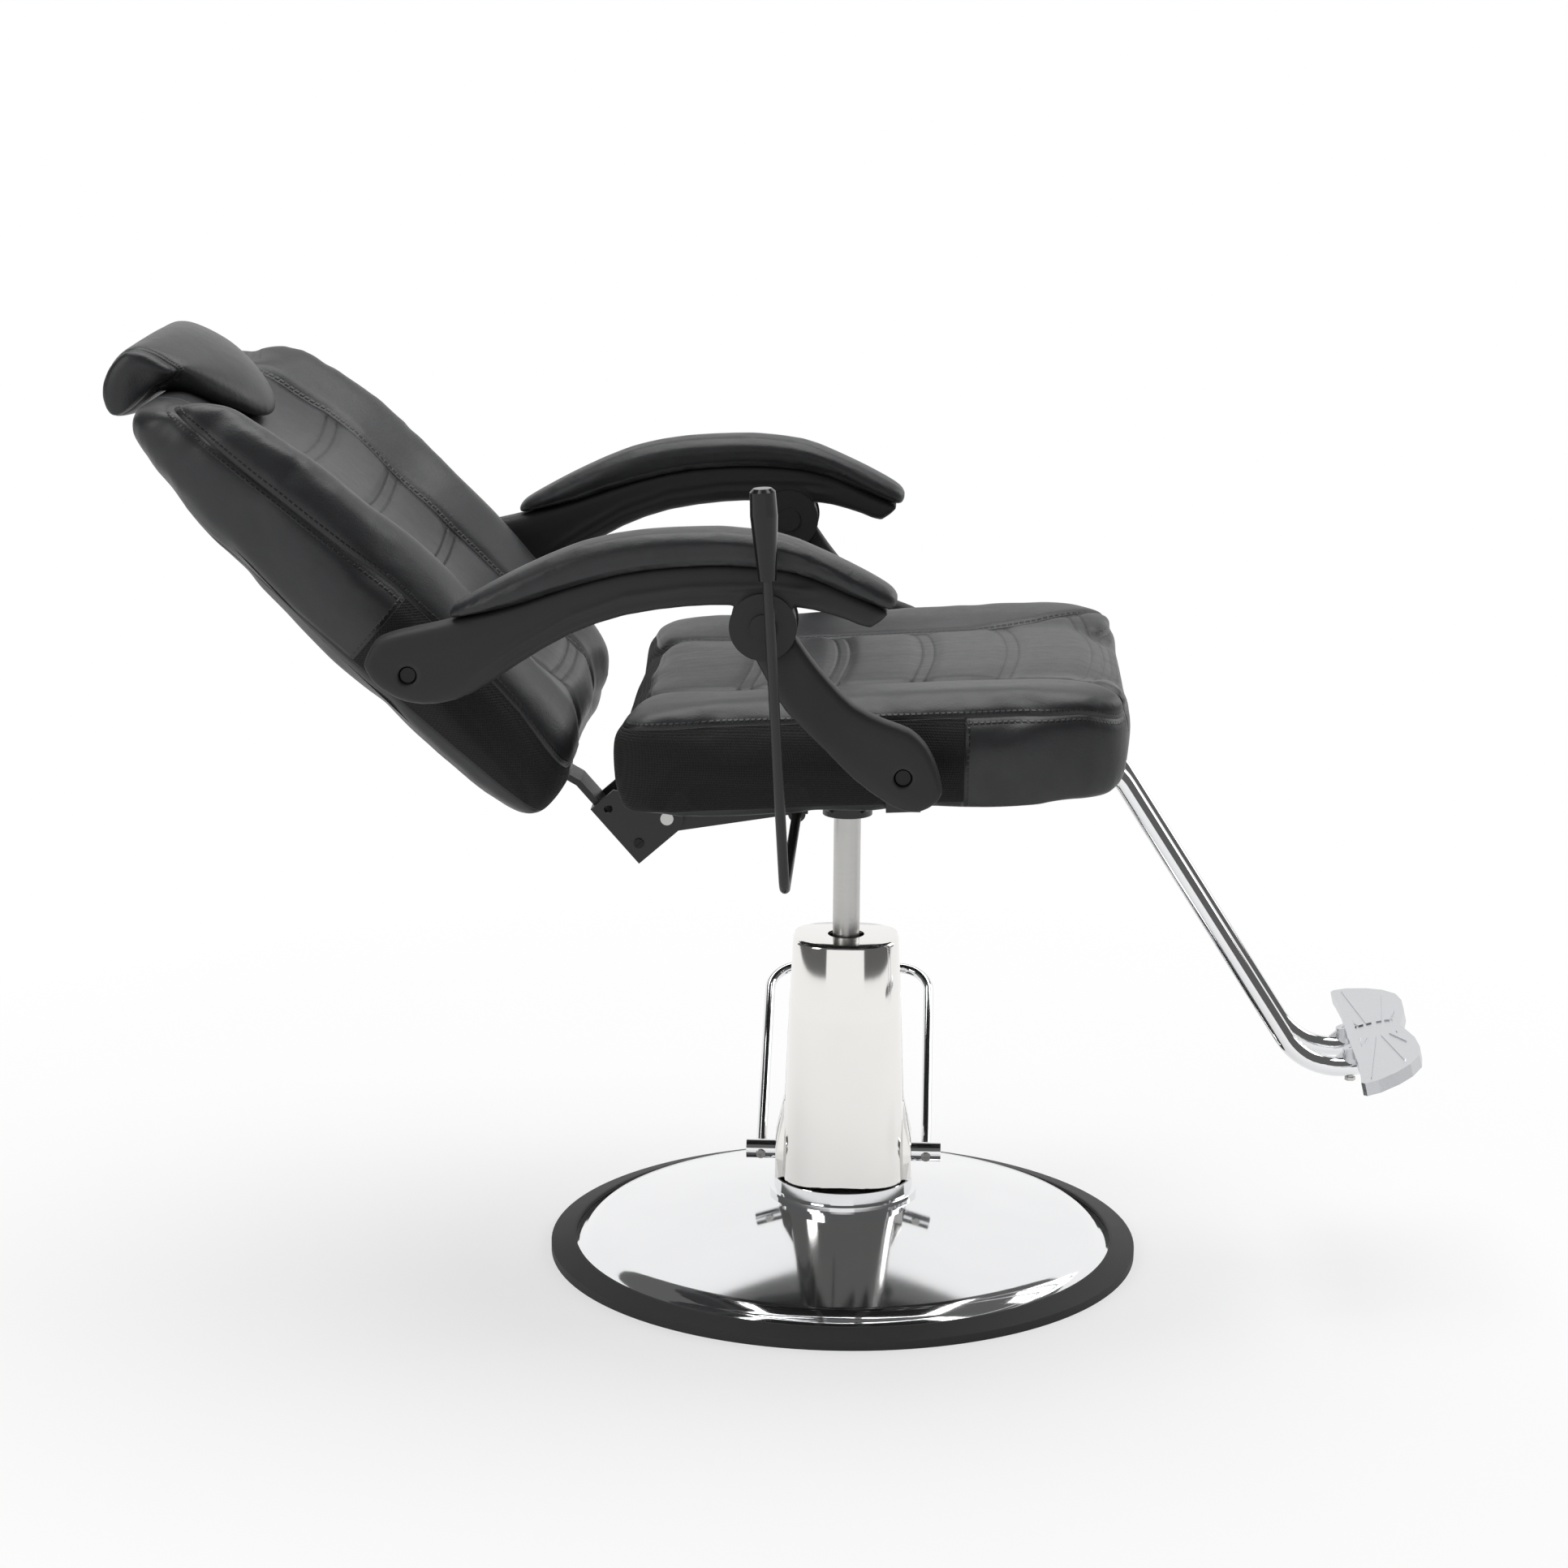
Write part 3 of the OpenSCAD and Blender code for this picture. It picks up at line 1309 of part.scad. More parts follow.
module foot_screw_holes() {
  for (side = [-1, 1])
    translate([foot_boss_x, side * foot_tube_gap / 2, foot_low_z - foot_tube_d])
      cylinder(h = foot_rise + 3 * foot_tube_d / 2 + foot_screw_deep + gap,
           r = foot_screw_r + hole_fit, $fn = small_fn);
}
// Underside of a foot tube, at a place along its flat end
function foot_tube_under(x) = foot_low_z
  + foot_rise * (x - foot_low_x) / (foot_tube_front_x - foot_low_x)
  - foot_tube_d / 2 / cos(atan2(foot_rise, foot_tube_front_x - foot_low_x));
module footplate_screws() {
  low = foot_tube_under(foot_boss_x - foot_screw_head_r) - gap;
  color(zinc_plate) for (side = [-1, 1])
    translate([foot_boss_x, side * foot_tube_gap / 2, 0]) {
      translate([0, 0, low])
        cylinder(h = foot_boss_z + foot_tube_d / 2 + foot_screw_deep - gap - low,
             r = foot_screw_r, $fn = small_fn);
      translate([0, 0, low - foot_screw_head_h])
        cylinder(h = foot_screw_head_h, r = foot_screw_head_r, $fn = 6);
    }
}

// Back. Rows of its cushion give the line that its board and bars follow.
back_rows = smooth(back_shares, 2);
back_rear_line = [for (r = back_rows) [back_foot_u + back_len * r[0], back_t * r[2]]];
back_side_line = [for (r = back_rows) [back_foot_u + back_len * r[0], back_w / 2 * r[1]]];
function back_rear(u) = lookup(u, back_rear_line);
function back_side(u) = lookup(u, back_side_line);

// One section across the back cushion
function back_ring(row) = let (
    side = back_w / 2 * row[1],
    rear_v = back_t * row[2],
    crest = back_t * row[3],
    crest_y = back_w / 2 * row[4],
    panel = back_t * row[5],
    thick = crest - rear_v,
    half = concat(
      [for (q = back_front_shares) [crest_y * q.x, panel + (crest - panel) * q.y]],
      [for (q = back_wing_shares)
        [crest_y + (side - crest_y) * q.x, crest - thick * q.y]],
      [for (q = back_rear_shares) [side * q.x, rear_v + thick * q.y]])
  )
  [for (p = mirrored(half)) [p.y, p.x, back_foot_u + back_len * row[0]]];

// Strip of even thickness along points [depth, place up the back], as an outline
module strip(line, t, grow) {
  offset(delta = grow)
    polygon(concat(
      [for (p = line) [p.x + t / 2, p.y]],
      [for (i = [len(line) - 1 : -1 : 0]) [line[i].x - t / 2, line[i].y]]));
}
// Extrudes an outline of depth and place up the back across the given width
module across(width, y = 0) {
  upright(y + width / 2) linear_extrude(height = width) children();
}

board_us = [back_board_low_u : back_board_step : back_board_high_u];
module back_board_shape(grow) {
  mid = board_inset + back_board_t / 2;
  intersection() {
    across(back_w) strip([for (u = board_us) [back_rear(u) + mid, u]], back_board_t, grow);
    translate([-back_t, 0, 0]) rotate([90, 0, 90])
      linear_extrude(height = 2 * back_t) offset(r = back_board_edge + grow)
        polygon(concat(
          [for (u = board_us) [back_side(u) - 2 * back_board_edge,
            min(max(u, back_board_low_u + back_board_edge),
              back_board_high_u - 2 * back_board_edge)]],
          [for (i = [len(board_list) - 1 : -1 : 0])
            [2 * back_board_edge - back_side(board_list[i]),
             min(max(board_list[i], back_board_low_u + back_board_edge),
               back_board_high_u - 2 * back_board_edge)]]));
  }
}
board_list = [for (u = board_us) u];
module back_board() {
  color(plywood) in_back() back_board_shape(0);
}

// Point of the channel's frame, given in the frame of the back
function channel_to_back(x, z) = [
  x * cos(channel_lag) + z * sin(channel_lag),
  z * cos(channel_lag) - x * sin(channel_lag)];
bar_x = channel_t + bar_t / 2 - channel_deep;
bar_line = concat(
  [channel_to_back(bar_x, bar_start), channel_to_back(bar_x, bar_bend)],
  [for (u = concat([bar_step_u], [for (u = board_us) if (u < bar_end_u) u]))
    [back_rear(u) + bar_inset + bar_t / 2, u]]);
module back_bar() {
  color(black_paint) difference() {
    in_back() across(bar_w) strip(bar_line, bar_t, 0);
    in_channel() translate([-channel_deep, 0, channel_bolt_z]) rotate([0, 90, 0])
      cylinder(h = channel_deep, r = channel_bolt_r + hole_fit, $fn = small_fn);
  }
}

// Arms of the crossbar, welded to the bar's edges, with ears for the arm bolts
module crossbar_shape(side, grow) {
  length = back_crossbar_half_w - bar_w / 2;
  bar_v = back_rear(arm_bolt_u) + bar_inset;
  ear_y = back_crossbar_half_w - crossbar_t / 2;
  translate([bar_v - grow, side * (back_crossbar_half_w - length / 2) - length / 2 - grow,
        arm_bolt_u - crossbar_w / 2 - grow])
    cube([crossbar_t + 2 * grow, length + 2 * grow, crossbar_w + 2 * grow]);
  across(crossbar_t + 2 * grow, side * ear_y) {
    translate([arm_bolt_v, arm_bolt_u]) circle(r = crossbar_w / 2 + grow);
    translate([bar_v, arm_bolt_u - crossbar_w / 2 - grow])
      square([arm_bolt_v - bar_v, crossbar_w + 2 * grow]);
  }
}
module back_crossbar() {
  color(black_paint) in_back() difference() {
    for (side = [-1, 1]) crossbar_shape(side, 0);
    cross_pin(arm_bolt_v, arm_bolt_u, arm_pin_r + loop_slack, 2 * back_w);
  }
}

// Box on the headrest bar's line between two places up the back
module on_guide(low_u, high_u, width, depth) {
  translate([guide_v - depth / 2, -width / 2, low_u])
    cube([depth, width, high_u - low_u]);
}
guide_w = head_bar_w + 2 * (head_bar_fit + guide_wall);
guide_t = head_bar_t + 2 * (head_bar_fit + guide_wall);
module guide_block(grow) {
  high_u = guide_block_u + guide_block_h;
  front = back_rear(high_u) + board_inset + back_board_t + gap / 2;
  translate([front - grow, -guide_w / 2 - grow, guide_block_u - grow])
    cube([guide_v - front, guide_w + 2 * grow, guide_block_h + 2 * grow]);
}
module headrest_guide() {
  color(black_paint) in_back() difference() {
    union() {
      on_guide(guide_low_u, guide_high_u, guide_w, guide_t);
      guide_block(0);
    }
    on_guide(guide_low_u - over, guide_high_u + over, head_bar_w + 2 * head_bar_fit,
         head_bar_t + 2 * head_bar_fit);
  }
}
module headrest_bar() {
  color(bright_steel) in_back()
    on_guide(head_bar_low_u, head_bar_high_u, head_bar_w, head_bar_t);
}

module back_cushion() {
  bolt_pocket = back_w / 2 - back_crossbar_half_w + arm_bolt_in + over;
  color(black_leather) in_back() difference() {
    loft([for (row = back_rows) back_ring(row)]);
    back_board_shape(gap);
    across(bar_w + 2 * gap) strip(bar_line, bar_t, gap);
    for (side = [-1, 1]) {
      crossbar_shape(side, gap);
      cross_pin(arm_bolt_v, arm_bolt_u, arm_pin_r + loop_slack + over,
           bolt_pocket + over, side * (back_w / 2 + over - bolt_pocket / 2));
    }
    on_guide(guide_low_u - gap, guide_high_u + gap, guide_w + 2 * gap, guide_t + 2 * gap);
    guide_block(gap);
    on_guide(head_bar_low_u - gap, back_foot_u + back_len + over, head_bar_w + 2 * gap,
         head_bar_t + 2 * gap);
  }
}

// One section of the headrest at a place across it, shrunk about its core
function headrest_ring(y, size) = [
  for (q = headrest_shares)
    let (
      u = headrest_core_shares.x + (q.x - headrest_core_shares.x) * size,
      v = headrest_core_shares.y + (q.y - headrest_core_shares.y) * size
    )
    [headrest_t * v, y, headrest_u + headrest_h * u]];
module headrest_cushion() {
  half = headrest_w / 2;
  last = len(headrest_end_shares) - 1;
  rows = concat(
    [for (i = [last : -1 : 1]) [-headrest_end_shares[i].x, headrest_end_shares[i].y]],
    headrest_end_shares);
  color(black_leather) in_back() difference() {
    loft([for (row = rows) headrest_ring(half * row.x, row.y)], flip = true,
       cores = [for (end = [-1, 1])
         [headrest_t * headrest_core_shares.y, end * half,
         headrest_u + headrest_h * headrest_core_shares.x]]);
    on_guide(head_bar_low_u, head_bar_high_u + gap, head_bar_w + gap, head_bar_t + gap);
  }
}

// Armrests
arm_rows = smooth(arm_shares, 2);
arm_top_line = [for (r = arm_rows) [rear.x + arm_len * r[0], rear.y + arm_len * r[1]]];
function arm_ring(row) = let (
    top = rear.y + arm_len * row[1],
    low = rear.y + arm_len * row[2]
  )
  [for (p = soft_box(arm_t / 2, (top - low) / 2, arm_square_share, 20))
    [rear.x + arm_len * row[0], p.x, (top + low) / 2 + p.y]];
module arm_frame(side) {
  slot_w = tongue_t + 2 * tongue_side;
  color(black_plastic) at_arm(side) difference() {
    union() {
      loft([for (row = arm_rows) arm_ring(row)]);
      cross_pin(hub.x, hub.y, lug_r, arm_t);
    }
    cross_pin(hub.x, hub.y, tongue_r + tongue_round, slot_w);
    translate([hub.x - 2 * lug_r, -slot_w / 2, hub.y - 2 * lug_r])
      cube([4 * lug_r, slot_w, 2 * lug_r]);
    cross_pin(hub.x, hub.y, hub_pin_r + run_fit, 2 * arm_t);
    cross_pin(rear.x, rear.y, arm_pin_r + run_fit, 2 * arm_t);
    cross_pin(rear.x, rear.y, plug_r, plug_depth + over,
         side * (arm_t - plug_depth + over) / 2);
  }
}
module arm_pad(side) {
  color(black_leather) at_arm(side)
    loft([for (row = smooth(pad_shares, 2))
      let (
        x = rear.x + arm_len * row[0],
        low = max(rear.y + arm_len * row[2], lookup(x, arm_top_line) + gap),
        top = max(rear.y + arm_len * row[1], low + over)
      )
      [for (p = mirrored(pad_round_shares))
        [x, p.x * row[3] * pad_w / 2, low + (top - low) * p.y]]]);
}
function strut_ring(row) = let (
    left = foot + strut_len * [row[0], row[1]],
    right = foot + strut_len * [row[2], row[3]],
    way = (right - left) / 2,
    mid = (right + left) / 2
  )
  [for (p = soft_box(1, strut_t / 2, arm_square_share, 16))
    [mid.x + way.x * p.x, p.y, mid.y + way.y * p.x]];
module strut(side) {
  color(black_plastic) at_arm(side) difference() {
    union() {
      difference() {
        loft([for (row = smooth(strut_shares, 2)) strut_ring(row)], flip = true);
        for (face = [-1, 1])
          cross_pin(hub.x, hub.y, lug_r + strut_clear, strut_t,
               face * (tongue_t + strut_t) / 2);
      }
      cross_pin(hub.x, hub.y, tongue_r, tongue_t);
    }
    cross_pin(hub.x, hub.y, hub_pin_r + run_fit, 2 * strut_t);
    cross_pin(foot.x, foot.y, arm_pin_r + run_fit, 2 * strut_t);
    cross_pin(foot.x, foot.y, plug_r, plug_depth + over,
         side * (strut_t - plug_depth + over) / 2);
  }
}
module hub_caps(side) {
  color(black_plastic) at_arm(side) for (face = [-1, 1]) {
    cross_pin(hub.x, hub.y, hub_cap_d / 2, cap_t, face * (arm_t + cap_t) / 2);
    cross_pin(hub.x, hub.y, cap_boss_r, cap_boss_t,
         face * (arm_t / 2 + cap_t + cap_boss_t / 2));
  }
}
module hub_pin(side) {
  color(bright_steel) at_arm(side) cross_pin(hub.x, hub.y, hub_pin_r, arm_t);
}
module arm_bolt(side) {
  head_y = arm_y + arm_t / 2 - plug_depth;
  in_y = back_crossbar_half_w - arm_bolt_in;
  spacer_in = back_w / 2 + rear_spacer_in;
  spacer_out = arm_y - arm_t / 2;
  color(zinc_plate) {
    cross_pin(rear.x, rear.y, arm_pin_r, head_y - in_y, side * (head_y + in_y) / 2);
    cross_pin(rear.x, rear.y, bolt_head_r, bolt_head_h, side * (head_y + bolt_head_h / 2));
    cross_pin(rear.x, rear.y, rear_spacer_r, spacer_out - spacer_in,
         side * (spacer_out + spacer_in) / 2);
  }
}

base_ring();
base_disc();
base_spider();
base_bolts();
pump_block();
pump_cylinder();
pump_gland();
pump_shroud();
shroud_ring();
pedal_shaft();
pedal_collars();
pedal_screws();
pedal_bar();
piston_head();
piston_seals();
piston_rod();
seat_socket();
socket_bolts();
seat_frame();
seat_board();
seat_cushion();
strut_crossbar();
hinge_bracket();
recline_pin();
lever_bracket();
footrest_clamp();
footrest_tubes();
footplate();
footplate_screws();
strut_bolts();
lever_rod();
lever_grip();
lock_barrel();
lock_rod();
back_channel();
back_bar();
channel_screws();
back_board();
back_crossbar();
back_cushion();
headrest_guide();
headrest_bar();
headrest_cushion();
strut(-1);  // strut_right
arm_frame(-1);  // arm_frame_right
arm_pad(-1);  // arm_pad_right
hub_caps(-1);  // hub_caps_right
hub_pin(-1);  // hub_pin_right
arm_bolt(-1);  // arm_bolt_right
strut(1);  // strut_left
arm_frame(1);  // arm_frame_left
arm_pad(1);  // arm_pad_left
hub_caps(1);  // hub_caps_left
hub_pin(1);  // hub_pin_left
arm_bolt(1);  // arm_bolt_left
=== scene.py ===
"""Looks of the reclining barber chair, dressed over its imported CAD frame."""
import math

import bmesh
import bpy
import numpy as np
from mathutils import Matrix, Vector


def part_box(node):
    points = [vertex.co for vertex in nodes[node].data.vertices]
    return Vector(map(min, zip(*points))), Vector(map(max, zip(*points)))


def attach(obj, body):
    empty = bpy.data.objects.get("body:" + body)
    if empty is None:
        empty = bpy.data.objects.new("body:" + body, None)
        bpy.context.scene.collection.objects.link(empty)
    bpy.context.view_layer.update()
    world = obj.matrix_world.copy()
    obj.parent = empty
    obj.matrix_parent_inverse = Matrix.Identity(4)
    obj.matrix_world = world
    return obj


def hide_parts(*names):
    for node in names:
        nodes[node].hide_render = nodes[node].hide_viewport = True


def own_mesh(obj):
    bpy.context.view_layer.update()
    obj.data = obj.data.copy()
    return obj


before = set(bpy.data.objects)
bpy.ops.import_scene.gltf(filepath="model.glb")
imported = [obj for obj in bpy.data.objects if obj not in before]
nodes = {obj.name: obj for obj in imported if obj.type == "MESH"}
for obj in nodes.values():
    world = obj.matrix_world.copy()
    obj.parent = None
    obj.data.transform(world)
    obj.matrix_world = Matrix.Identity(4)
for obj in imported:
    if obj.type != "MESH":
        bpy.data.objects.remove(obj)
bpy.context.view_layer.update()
scene = bpy.context.scene

# Places that the CAD model gives, in metres
SEAT_Z = 0.480
SEAT_SLOPE = math.tan(math.radians(3))
PIN = np.array([-0.165, 0.0, 0.419])
BACK_UP = np.array([-0.76604, 0.0, 0.64279])
BACK_FRONT = np.array([0.64279, 0.0, 0.76604])
ARM_REAR = np.array([-0.36609, 0.60406])
ARM_LEN = 0.442
HUB = np.array([-0.06611, 0.65104])
STRUT_FOOT = np.array([0.053, 0.521])
ARM_Y = 0.279


# ---------------------------------------------------------------- materials
class Value:
    """A socket that joins in sums: each operator adds its Math node"""

    def __init__(self, tree, socket):
        self.tree, self.socket = tree, socket

    def math(self, operation, *others):
        node = self.tree.nodes.new("ShaderNodeMath")
        node.operation = operation
        for i, item in enumerate((self, *others)):
            join(self.tree, item, node.inputs[i])
        return Value(self.tree, node.outputs[0])

    def __add__(self, other):
        return self.math("ADD", other)

    def __sub__(self, other):
        return self.math("SUBTRACT", other)

    def __mul__(self, other):
        return self.math("MULTIPLY", other)

    def __truediv__(self, other):
        return self.math("DIVIDE", other)

    def __rsub__(self, other):
        return self.math("MULTIPLY", -1).math("ADD", other)

    def __abs__(self):
        return self.math("ABSOLUTE")

    __radd__, __rmul__ = __add__, __mul__

    def near(self, width):
        """1 where the value is 0, falling straight to 0 at the given width"""
        return (1 - abs(self) / width).math("MAXIMUM", 0)

    def above(self, soft):
        """0 under zero and 1 over it, with a soft edge"""
        return (self / soft + 0.5).math("MAXIMUM", 0).math("MINIMUM", 1)


def join(tree, item, socket):
    """Links a value to a socket, or sets a bare number there"""
    if isinstance(item, Value):
        tree.links.new(item.socket, socket)
    else:
        socket.default_value = item


class Finish:
    """One material, with a method for any node"""

    def __init__(self, name):
        self.material = bpy.data.materials.new(name)
        self.material.use_nodes = True
        self.tree = self.material.node_tree
        self.tree.nodes.clear()
        self.place = self.add("ShaderNodeTexCoord", out="Object")

    def add(self, kind, settings=None, out=0, **sockets):
        node = self.tree.nodes.new(kind)
        for key, setting in (settings or {}).items():
            if key == "stops":
                ramp = node.color_ramp.elements
                ramp[0].position, ramp[0].color = setting[0]
                ramp[1].position, ramp[1].color = setting[-1]
                for position, colour in setting[1:-1]:
                    ramp.new(position).color = colour
            else:
                setattr(node, key, setting)
        for key, item in sockets.items():
            join(self.tree, item, node.inputs[key.replace("_", " ")])
        return Value(self.tree, node.outputs[out])

    def stretch(self, by):
        node = self.tree.nodes.new("ShaderNodeVectorMath")
        node.operation = "MULTIPLY"
        join(self.tree, self.place, node.inputs[0])
        node.inputs[1].default_value = by
        return Value(self.tree, node.outputs[0])

    def noise(self, scale, detail=3.0, rough=0.55, where=None):
        return self.add("ShaderNodeTexNoise", Scale=scale, Detail=detail, Roughness=rough,
                        Vector=where or self.place)

    def cells(self, scale, where=None):
        return self.add("ShaderNodeTexVoronoi", {"feature": "SMOOTH_F1"}, Scale=scale,
                        Smoothness=0.6, Vector=where or self.place)

    def attribute(self, name):
        return self.add("ShaderNodeAttribute", {"attribute_name": name}, out="Fac")

    def axis(self, letter):
        return self.add("ShaderNodeSeparateXYZ", out=letter, Vector=self.place)

    def blend(self, share, low, high):
        node = self.tree.nodes.new("ShaderNodeMix")
        node.data_type = "RGBA"
        join(self.tree, share, node.inputs[0])
        for item, socket in ((low, node.inputs[6]), (high, node.inputs[7])):
            join(self.tree, item, socket)
        return Value(self.tree, node.outputs[2])

    def finish(self, height=None, **sockets):
        if height is not None:
            sockets["Normal"] = self.add("ShaderNodeBump", Height=height, Distance=1.0,
                                         Strength=1.0)
        return self.close(self.add("ShaderNodeBsdfPrincipled", **sockets))

    def close(self, shader):
        out = self.tree.nodes.new("ShaderNodeOutputMaterial")
        self.tree.links.new(shader.socket, out.inputs["Surface"])
        return self.material


def grey(level, warm=0.0):
    return (level * (1 + warm), level, level * (1 - warm), 1.0)


BLACK_HIDE = (0.016, 0.0168, 0.0185, 1.0)
WORN_HIDE = (0.024, 0.025, 0.0275, 1.0)
THREAD = (0.003, 0.003, 0.0032, 1.0)
# Half widths of a sewn fold, of the painted shade darkening the middle of that fold and of a
# stitch, and one stitch's pitch
FOLD_HALF, SHADED_CREASE_HALF, STITCH_HALF, STITCH_PITCH = 0.0032, 0.0016, 0.0013, 0.0056


def leather(name, seams=(), mesh_area=None, pucker=None):
    """Black pebbled leather. A seam is (distance, run along it, stitch rows, where)."""
    f = Finish(name)
    grain = f.cells(640.0)
    soft = f.noise(90.0, 4.0)
    broad = f.noise(9.0, 2.0)
    height = grain * 0.00008 + soft * 0.00018 + broad * 0.0008
    share = (f.noise(34.0, 3.0) - 0.35) * 2.2
    colour = f.blend(share.math("MAXIMUM", 0).math("MINIMUM", 1), BLACK_HIDE, WORN_HIDE)
    rough = 0.36 + soft * 0.10 + grain * 0.05
    if pucker:
        height = height + pucker(f)
    crease_shades, threads = None, None
    for distance, run, rows, where in seams:
        d = distance(f)
        mask = where(f) if where else 1.0
        fold = d.near(FOLD_HALF)
        height = height - fold * fold * mask * 0.0013
        # Painted shade: a dark line along the middle of each seam's fold
        crease_shade = d.near(SHADED_CREASE_HALF) * mask
        crease_shades = crease_shade if crease_shades is None else crease_shades.math("MAXIMUM", crease_shade)
        dash = ((run(f) / STITCH_PITCH).math("FRACT") - 0.5).math("ABSOLUTE")
        dash = (0.36 - dash).above(0.12)
        for row in rows:
            stitch = (d - row).near(STITCH_HALF) * dash * mask
            threads = stitch if threads is None else threads.math("MAXIMUM", stitch)
    if mesh_area:
        weave, area = mesh_area(f)
        height = height * (1 - area) + weave * area * 0.0005
        colour = f.blend(area, colour, f.blend(weave, grey(0.002), grey(0.011, 0.02)))
        rough = rough * (1 - area) + area * 0.85
    if crease_shades is not None:
        # The seams' creases are darkened in colour as painted shade
        colour = f.blend(crease_shades * 0.9, colour, grey(0.003))
    if threads is not None:
        height = height + threads * 0.0004
        colour = f.blend((threads * 1.6).math("MINIMUM", 1), colour, THREAD)
    return f.finish(height, **{"Base Color": colour, "Roughness": rough,
                               "Specular IOR Level": 0.5})


def diamond_weave(f):
    """Fine knitted mesh: small holes in slanted rows"""
    x, y, z = f.axis("X"), f.axis("Y"), f.axis("Z")
    a = ((x + y + z) * 1450.0).math("SINE")
    b = ((x + y - z) * 1450.0).math("SINE")
    return a * b * 0.5 + 0.5


def plastic(name, level=0.022, rough=0.5, grain=0.00005):
    f = Finish(name)
    fine = f.cells(1500.0)
    haze = f.noise(25.0, 3.0)
    colour = f.blend(haze, grey(level), grey(level * 1.25))
    return f.finish(fine * grain + haze * 0.0001,
                    **{"Base Color": colour, "Roughness": rough + haze * 0.12,
                       "Specular IOR Level": 0.4})


def painted(name, level=0.014, rough=0.32):
    """Powder-coated steel with a faint orange peel"""
    f = Finish(name)
    peel = f.noise(420.0, 2.0)
    dust = f.noise(18.0, 4.0)
    colour = f.blend(dust, grey(level), grey(level * 1.5))
    return f.finish(peel * 0.00008, **{"Base Color": colour, "Roughness": rough + dust * 0.15})


def metal(name, colour, rough, stretch, lines=0.12, depth=0.00001):
    """Metal whose grinding or polishing lines run across the stretched axis"""
    f = Finish(name)
    ground = f.noise(1.0, 3.0, where=f.stretch(stretch))
    smear = f.noise(12.0, 3.0)
    tone = f.blend(smear, tuple(c * 0.93 for c in colour[:3]) + (1.0,), colour)
    return f.finish(ground * depth, **{"Base Color": tone, "Metallic": 1.0,
                                       "Roughness": rough + ground * lines + smear * rough * 0.4})


def rubber(name):
    f = Finish(name)
    dust = f.noise(30.0, 5.0)
    fine = f.noise(700.0, 2.0)
    colour = f.blend(dust, grey(0.022), grey(0.04))
    return f.finish(fine * 0.0001, **{"Base Color": colour, "Roughness": 0.62 + dust * 0.15})


def dust_cloth(name):
    """Thin black cloth stapled over the boards"""
    f = Finish(name)
    weft = ((f.axis("X") * 2600.0).math("SINE") + (f.axis("Y") * 2600.0).math("SINE")) * 0.25
    dust = f.noise(14.0, 4.0)
    colour = f.blend(dust, grey(0.006), grey(0.012))
    return f.finish(weft * 0.0001 + dust * 0.0004, **{"Base Color": colour, "Roughness": 0.9})


CHROME = (0.86, 0.865, 0.875, 1.0)
WARM_CHROME = (0.88, 0.868, 0.845, 1.0)
GROUND_STEEL = (0.56, 0.555, 0.54, 1.0)
ZINC = (0.62, 0.62, 0.60, 1.0)
CAST_ALLOY = (0.62, 0.63, 0.65, 1.0)

chrome = metal("polished chrome", CHROME, rough=0.035, stretch=(8, 8, 8),
               lines=0.02, depth=0.000002)
base_chrome = metal("chrome of the base", CHROME, rough=0.05, stretch=(5, 5, 5),
                    lines=0.03, depth=0.000004)
warm_chrome = metal("chrome of the shroud", WARM_CHROME, rough=0.06, stretch=(8, 8, 8),
                    lines=0.03, depth=0.000003)
satin_rod = metal("ground piston rod", GROUND_STEEL, rough=0.22, stretch=(60, 60, 1500),
                  lines=0.2, depth=0.00002)
zinc = metal("zinc plated steel", ZINC, rough=0.28, stretch=(400, 400, 400),
             lines=0.15, depth=0.00002)
cast_plate = metal("satin cast footplate", CAST_ALLOY, rough=0.2, stretch=(150, 900, 150),
                   lines=0.1, depth=0.00002)
raw_iron = painted("painted casting", level=0.02, rough=0.5)
black_paint = painted("black powder coat")
moulded = plastic("moulded black plastic")
gloss_grip = plastic("glossy black grip", level=0.008, rough=0.10, grain=0.0)
ring_rubber = rubber("rubber of the floor ring")
board_cloth = dust_cloth("black dust cover")
# Black steel, darkened further as painted shade of the recesses that these bolts sit in
recess_shade_black = plastic("black steel darkened as painted recess shade", level=0.004, rough=0.45)

FINISHES = {
    ring_rubber: "base_ring piston_seals",
    base_chrome: "base_disc shroud_ring",
    chrome: "pump_shroud pedal_collars pedal_bar footrest_tubes",
    cast_plate: "footplate",
    satin_rod: "piston_rod piston_head pump_gland pedal_shaft",
    zinc: "base_bolts pedal_screws socket_bolts recline_pin footplate_screws lock_rod"
          " hub_pin_right hub_pin_left",
    # These bolts and screws are darkened as painted shade of their recesses
    recess_shade_black: "strut_bolts channel_screws arm_bolt_right arm_bolt_left",
    raw_iron: "base_spider pump_block pump_cylinder",
    black_paint: "seat_frame seat_socket hinge_bracket back_channel back_bar back_crossbar"
                 " strut_crossbar headrest_bar headrest_guide lever_rod lever_bracket"
                 " lock_barrel footrest_clamp",
    board_cloth: "seat_board back_board",
    moulded: "hub_caps_right hub_caps_left arm_frame_right arm_frame_left strut_right"
             " strut_left",
    gloss_grip: "lever_grip",
}
for material, names in FINISHES.items():
    for name in names.split():
        for item in nodes[name].material_slots:
            item.material = material


# ---------------------------------------------------------------- mesh helpers
def points(obj):
    co = np.empty(len(obj.data.vertices) * 3)
    obj.data.vertices.foreach_get("co", co)
    return co.reshape(-1, 3)


def normals(obj):
    no = np.empty(len(obj.data.vertices) * 3)
    obj.data.vertices.foreach_get("normal", no)
    return no.reshape(-1, 3)


